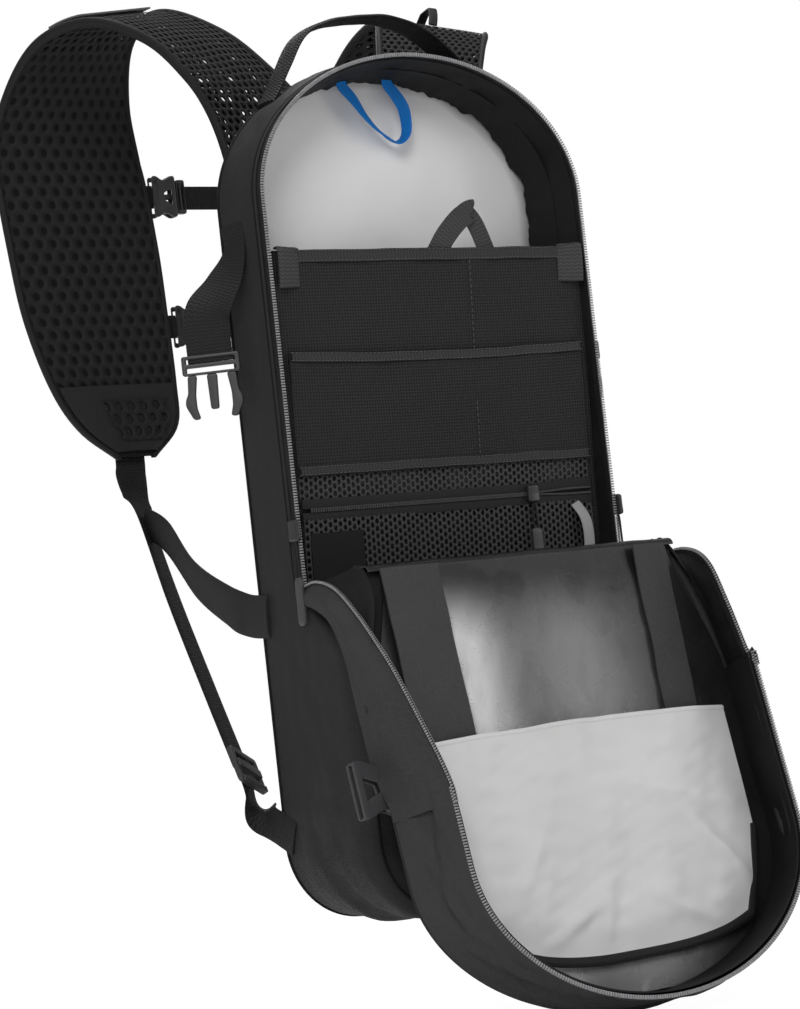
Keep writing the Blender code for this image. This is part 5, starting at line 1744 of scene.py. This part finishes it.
def add_moulded(name, plates, place, across, up, material, body, stands_for=()):
    """Moulded plates: flat outlines with holes, given a thickness, a level and a rounded edge."""
    joined_mesh = bmesh.new()
    for outlines, thickness, level in plates:
        edge = min(0.0006, thickness * 0.3)
        data = bpy.data.curves.new(name, "CURVE")
        data.dimensions = "2D"
        data.fill_mode = "BOTH"
        data.extrude = thickness / 2.0 - edge
        data.bevel_depth = edge
        data.bevel_resolution = 2
        data.offset = -edge
        for outline in outlines:
            spline = data.splines.new("POLY")
            spline.points.add(len(outline) - 1)
            rows = np.hstack([outline, np.zeros((len(outline), 1)), np.ones((len(outline), 1))])
            spline.points.foreach_set("co", rows.ravel())
            spline.use_cyclic_u = True
        helper = link(name + "_outline", data)
        bpy.context.view_layer.update()
        mesh = bpy.data.meshes.new_from_object(helper)
        mesh.transform(Matrix.Translation((0.0, 0.0, level)))
        joined_mesh.from_mesh(mesh)
        bpy.data.objects.remove(helper)
        bpy.data.meshes.remove(mesh)
        bpy.data.curves.remove(data)
    bmesh.ops.remove_doubles(joined_mesh, verts=joined_mesh.verts, dist=1e-6)
    across, up = unit(np.asarray(across, float)), unit(np.asarray(up, float))
    axes = axes_at(across, up, np.cross(across, up), np.asarray(place, float) + SHIFT)
    bmesh.ops.transform(joined_mesh, matrix=axes, verts=joined_mesh.verts)
    bmesh.ops.recalc_face_normals(joined_mesh, faces=joined_mesh.faces)
    data = bpy.data.meshes.new(name)
    joined_mesh.to_mesh(data)
    joined_mesh.free()
    return put_in_scene(name, data, material, body, stands_for, 35.0)


def plug_plates(width, length):
    """A side-release plug that points down: webbing bars, a centre guide and two prongs."""
    half = width / 2.0
    root = -0.30 * length
    frame = bar(-half, half, root, 0.0, 0.0016)
    slots = [bar(-half + 0.0024, half - 0.0024, root * 0.88, root * 0.62, 0.0007),
             bar(-half + 0.0024, half - 0.0024, root * 0.42, root * 0.16, 0.0007)]
    guide = rounded([(-0.09 * width, root), (0.09 * width, root), (0.07 * width, -0.84 * length),
                     (-0.07 * width, -0.84 * length)], 0.0015)
    plates = [([frame] + slots, 0.0040, 0.0), ([guide], 0.0028, 0.0)]
    for side in (-1.0, 1.0):
        prong = [(0.26, root / length), (0.42, root / length), (0.44, -0.58), (0.49, -0.66),
                 (0.50, -0.76), (0.38, -0.98), (0.26, -0.97), (0.31, -0.80), (0.31, -0.60)]
        outline = np.array([(side * x * width, y * length) for x, y in prong])
        plates.append(([rounded(outline, 0.0016)], 0.0030, 0.0))
    return plates


def socket_plates(width, length):
    """A receptacle that opens at the top: two faces with windows, and side walls between."""
    half = width / 2.0
    waist = [(-half, 0.0), (half, 0.0), (half, -0.20 * length), (half * 0.80, -0.45 * length),
             (half * 0.80, -0.60 * length), (half, -0.80 * length), (half, -length),
             (-half, -length), (-half, -0.80 * length), (-half * 0.80, -0.60 * length),
             (-half * 0.80, -0.45 * length), (-half, -0.20 * length)]
    face = rounded(waist, 0.0020)
    window = rounded([(-half * 0.42, -0.16 * length), (half * 0.42, -0.16 * length),
                      (half * 0.16, -0.52 * length), (-half * 0.16, -0.52 * length)], 0.0010)
    slot = bar(-half + 0.0030, half - 0.0030, -0.94 * length, -0.78 * length, 0.0006)
    plates = [([face, window, slot], 0.0016, level) for level in (-0.0028, 0.0028)]
    core = rounded([(-half * 0.78, -0.62 * length), (half * 0.78, -0.62 * length),
                    (half * 0.95, -0.76 * length), (-half * 0.95, -0.76 * length)], 0.0008)
    plates.append(([core], 0.0046, 0.0))
    for side in (-1.0, 1.0):
        wall = bar(side * half * 0.95 - 0.0008, side * half * 0.95 + 0.0008, -0.18 * length,
                   -0.001, 0.0005)
        plates.append(([wall], 0.0046, 0.0))
    return plates


def lock_plates():
    """A ladder lock: a frame with two slots, a raised middle bar and a ridged lip."""
    frame = rounded([(-0.0135, -0.012), (0.0135, -0.012), (0.0135, 0.012), (-0.0135, 0.012)],
                    0.0024)
    slots = [bar(-0.0104, 0.0104, low, low + 0.0053, 0.0008) for low in (-0.0085, 0.0031)]
    plates = [([frame] + slots, 0.0030, 0.0)]
    plates.append(([bar(-0.0118, 0.0118, -0.0028, 0.0028, 0.0010)], 0.0020, 0.0018))
    plates.append(([bar(-0.0120, 0.0120, -0.0124, -0.0092, 0.0010)], 0.0018, 0.0020))
    plates += [([bar(x - 0.0004, x + 0.0004, -0.0120, -0.0096, 0.0002)], 0.0012, 0.0030)
               for x in np.linspace(-0.0095, 0.0095, 9)]
    return plates


class PACK_OT_buckles(PackOperator, bpy.types.Operator):
    """Side-release buckles, ladder locks and sternum buckles."""
    bl_idname = "hydration_pack.buckles"
    bl_label = "Buckles"

    def build(self, sizes):
        down = unit(LOCK - FORK)
        across = unit(np.array(LOCK_TILT) - np.dot(LOCK_TILT, down) * down)
        ahead = unit(np.cross(across, down))
        ahead = -ahead if ahead[1] > 0.0 else ahead
        for side, name in SIDES:
            mirror = np.array([side, 1.0, 1.0])
            top = np.array([-0.130, -0.014, 0.0711]) * mirror
            face = np.array([-0.6, -0.8, 0.0]) * mirror
            up = np.array([0.0, 0.0, 1.0])
            add_moulded("cinch_plug_" + name, plug_plates(0.032, 0.036), top,
                        np.cross(up, face), up, "buckle_plastic", "side_plug_" + name,
                        ("compression_plug_" + name,))
            place = np.array([-0.135, FRONT_Y - 0.00405, FOLD_Z + 0.135]) * mirror
            face = opened_out([[0.0, -1.0, 0.0]])[0]
            up = np.array([-side, 0.0, 0.0])
            add_moulded("cinch_socket_" + name, socket_plates(0.030, 0.026), opened(place),
                        np.cross(up, face), up, "buckle_plastic", "front_panel",
                        ("compression_socket_" + name,))
            spot = (LOCK + ahead * 0.0028) * mirror
            face, up = ahead * mirror, -down * mirror
            add_moulded("strap_lock_" + name, lock_plates(), spot, np.cross(up, face), up,
                        "buckle_plastic", "ladder_lock_" + name, ("ladder_lock_" + name,))
        self.add_sternum()

    def add_sternum(self):
        """Each sternum strap's receptacle, the post that holds its anchor, and its plug."""
        post = [([bar(-0.0115, 0.0115, -0.0022, 0.0022, 0.0018)], 0.0058, 0.0)]
        up, face = np.array([1.0, 0.0, 0.0]), np.array([0.0, -1.0, 0.0])
        for (name, z, end), material in zip(STERNUM, ("buckle_plastic", "dark_plastic")):
            body = name + "_sternum"
            for piece, plates, x, rides, stands_for in (
                    ("_buckle", socket_plates(0.026, 0.016), 0.016, body, (body + "_socket",)),
                    ("_post", post, -0.0150, body, ()),
                    ("_plug", plug_plates(0.0215, 0.0205), PLUG_REACH, body + "_plug",
                     (body + "_plug",))):
                add_moulded(name + piece, plates, (end + x, WEB_Y, z), np.cross(up, face), up,
                            material, rides, stands_for)


# ---------------------------------------------------------------- back

class PACK_OT_back(PackOperator, bpy.types.Operator):
    """The padded back panel and the yoke that carries the straps."""
    bl_idname = "hydration_pack.back"
    bl_label = "Back pad"

    def build(self, sizes):
        path = outline_loop(0.0095, 300)
        for name, low, high, node in (("back_pad", -1.0, 0.1450, "back_panel_pad"),
                                      ("yoke_pad", 0.1460, 1.0, "strap_yoke")):
            line = path.copy()
            line[:, 1] = np.clip(line[:, 1], low, high)
            line = even(line, 300, closed=True)
            middle = np.array([0.0, (line[:, 1].min() + line[:, 1].max()) / 2.0])
            share = np.concatenate([np.linspace(0.0, 1.0, 12), np.ones(7),
                                    np.linspace(1.0, 0.0, 34)[1:]])
            turn = np.linspace(-0.5, 0.5, 7) * math.pi
            lift = np.concatenate([np.full(12, 0.0006), 0.0056 + 0.0050 * np.sin(turn),
                                   np.full(33, 0.0106)])
            swell = np.concatenate([np.zeros(12), np.cos(turn) * 0.0014, np.zeros(33)])
            flat = middle + (line - middle)[:, None, :] * share[None, :, None]
            flat = flat + unit(line - middle)[:, None, :] * swell[None, :, None]
            front = np.concatenate([np.zeros(19), np.ones(33)])
            x, z = flat[..., 0], flat[..., 1]
            channel = np.exp(-(x / 0.014) ** 2) * 0.0032
            seams = sum(np.exp(-((z - level) / 0.0035) ** 2) for level in (-0.12, -0.02, 0.08))
            y = lift + front * ((1.0 - share ** 6) * 0.0024 - channel * (1.0 - share ** 8)
                                - 0.0016 * seams * (1.0 - share ** 8))
            lay = np.stack([x, z], axis=-1)
            lay = np.concatenate([lay, lay[:1]], axis=0)
            pad = add_piece(name, grid(points(x, y, z), wrap=True, lay=lay, flip=True),
                            "back_mesh", "pack", (node,), weld=True)
            ring = points(line[:, 0], 0.0052, line[:, 1])
            add_piece(name + "_edge", tube(ring, 0.0034, 0.0060, side=(0, 1, 0), closed=True),
                      "back_binding", "pack", weld=True)


# ---------------------------------------------------------------- stage

class PACK_OT_stage(PackOperator, bpy.types.Operator):
    """Floor, lamps, world and camera."""
    bl_idname = "hydration_pack.stage"
    bl_label = "Stage"

    def build(self, sizes):
        self.add_floor(sizes)
        for name, place, power in (("key", (-1.6, -2.1, 1.3), 33.0),
                                   ("fill", (1.9, -1.7, 0.4), 9.0),
                                   ("top", (0.1, 0.5, 1.9), 24.0),
                                   ("back", (0.9, 2.4, 0.7), 22.0)):
            self.add_lamp(name, place, power)
        self.add_world()
        self.add_camera()

    def add_floor(self, sizes):
        """A pale floor under the pack: nearly white to the camera, plain paper to the lamps."""
        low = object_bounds()[0][2] - sizes.floor_gap
        data = bpy.data.meshes.new("floor")
        reach = 6.0
        data.from_pydata([(-reach, -reach, low), (reach, -reach, low), (reach, reach, low),
                          (-reach, reach, low)], [], [(0, 1, 2, 3)])
        floor = link("floor", data)
        material = bpy.data.materials.new("floor_paper")
        material.use_nodes = True
        tree = material.node_tree
        shader = tree.nodes["Principled BSDF"]
        shader.inputs["Base Color"].default_value = (0.90, 0.90, 0.90, 1.0)
        shader.inputs["Roughness"].default_value = 0.95
        rays = tree.nodes.new("ShaderNodeLightPath")
        seen = tree.nodes.new("ShaderNodeMath")
        seen.operation = "MULTIPLY"
        seen.inputs[1].default_value = 0.88
        tree.links.new(rays.outputs["Is Camera Ray"], seen.inputs[0])
        glow = tree.nodes.new("ShaderNodeEmission")
        glow.inputs["Strength"].default_value = 1.1
        mix = tree.nodes.new("ShaderNodeMixShader")
        tree.links.new(seen.outputs[0], mix.inputs["Fac"])
        tree.links.new(shader.outputs[0], mix.inputs[1])
        tree.links.new(glow.outputs[0], mix.inputs[2])
        tree.links.new(mix.outputs[0], tree.nodes["Material Output"].inputs["Surface"])
        data.materials.append(material)
        floor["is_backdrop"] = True

    def add_lamp(self, name, place, power):
        """A round lamp, 1.4 m across, that faces the middle of the pack."""
        data = bpy.data.lights.new(name, "AREA")
        data.shape = "DISK"
        data.size = 1.4
        data.energy = power
        back = unit(np.array(place) - [0.0, 0.0, -0.25])
        right = unit(np.cross((0.0, 0.0, 1.0), back))
        link(name, data).matrix_world = axes_at(right, np.cross(back, right), back, place)

    def add_world(self):
        """A grey world for light, white where the camera sees it, straight or through a net."""
        world = bpy.data.worlds.new("studio")
        world.use_nodes = True
        tree = world.node_tree
        tree.nodes.clear()
        rays = tree.nodes.new("ShaderNodeLightPath")
        seen = tree.nodes.new("ShaderNodeMath")
        seen.operation = "MAXIMUM"
        tree.links.new(rays.outputs["Is Camera Ray"], seen.inputs[0])
        tree.links.new(rays.outputs["Is Transmission Ray"], seen.inputs[1])
        mix = tree.nodes.new("ShaderNodeMixShader")
        tree.links.new(seen.outputs[0], mix.inputs["Fac"])
        for slot, strength in ((1, 0.30), (2, 1.0)):
            light = tree.nodes.new("ShaderNodeBackground")
            light.inputs["Color"].default_value = (1.0, 1.0, 1.0, 1.0)
            light.inputs["Strength"].default_value = strength
            tree.links.new(light.outputs[0], mix.inputs[slot])
        out = tree.nodes.new("ShaderNodeOutputWorld")
        tree.links.new(mix.outputs[0], out.inputs["Surface"])
        bpy.context.scene.world = world

    def add_camera(self):
        """The camera: to the pack's left front, a little below it and tilted."""
        azimuth, elevation, roll = math.radians(33.18), math.radians(-2.88), -0.109811
        target = np.array([-0.00789, 0.012, -0.27932])
        back = np.array([-math.sin(azimuth) * math.cos(elevation),
                         -math.cos(azimuth) * math.cos(elevation), math.sin(elevation)])
        right = np.array([math.cos(azimuth), -math.sin(azimuth), 0.0])
        up = np.cross(back, right)
        axes = axes_at(right * math.cos(roll) + up * math.sin(roll),
                       up * math.cos(roll) - right * math.sin(roll), back, target + back * 1.553)
        data = bpy.data.cameras.new("camera")
        data.lens = 121.5
        data.sensor_fit = "HORIZONTAL"
        data.sensor_width = 36.0
        camera = link("camera", data)
        camera.matrix_world = axes
        bpy.context.scene.camera = camera
        bpy.context.scene.view_settings.view_transform = "Standard"


# ---------------------------------------------------------------- registration

BUILDERS = (PACK_OT_body, PACK_OT_main_zip, PACK_OT_inside, PACK_OT_organiser,
            PACK_OT_small_zips, PACK_OT_front_panel, PACK_OT_fold, PACK_OT_vest_straps,
            PACK_OT_webbing, PACK_OT_buckles, PACK_OT_back, PACK_OT_stage)


class PACK_PT_panel(bpy.types.Panel):
    """The hydration pack's builders in the sidebar."""
    bl_idname = "PACK_PT_panel"
    bl_label = "Hydration pack"
    bl_space_type = "VIEW_3D"
    bl_region_type = "UI"
    bl_category = "Hydration pack"

    def draw(self, context):
        for builder in BUILDERS:
            self.layout.operator(builder.bl_idname)
        for group in (context.scene.pack_sizes, context.scene.pack_colours):
            box = self.layout.box()
            for name in group.__annotations__:
                box.prop(group, name)


CLASSES = (PackColours, PackSizes) + BUILDERS + (PACK_PT_panel,)


def register():
    for cls in CLASSES:
        bpy.utils.register_class(cls)
    bpy.types.Scene.pack_colours = bpy.props.PointerProperty(type=PackColours)
    bpy.types.Scene.pack_sizes = bpy.props.PointerProperty(type=PackSizes)


def unregister():
    del bpy.types.Scene.pack_sizes
    del bpy.types.Scene.pack_colours
    for cls in reversed(CLASSES):
        bpy.utils.unregister_class(cls)


def main():
    register()
    for builder in BUILDERS:
        group, name = builder.bl_idname.split(".")
        getattr(getattr(bpy.ops, group), name)()


if __name__ == "__main__":
    main()
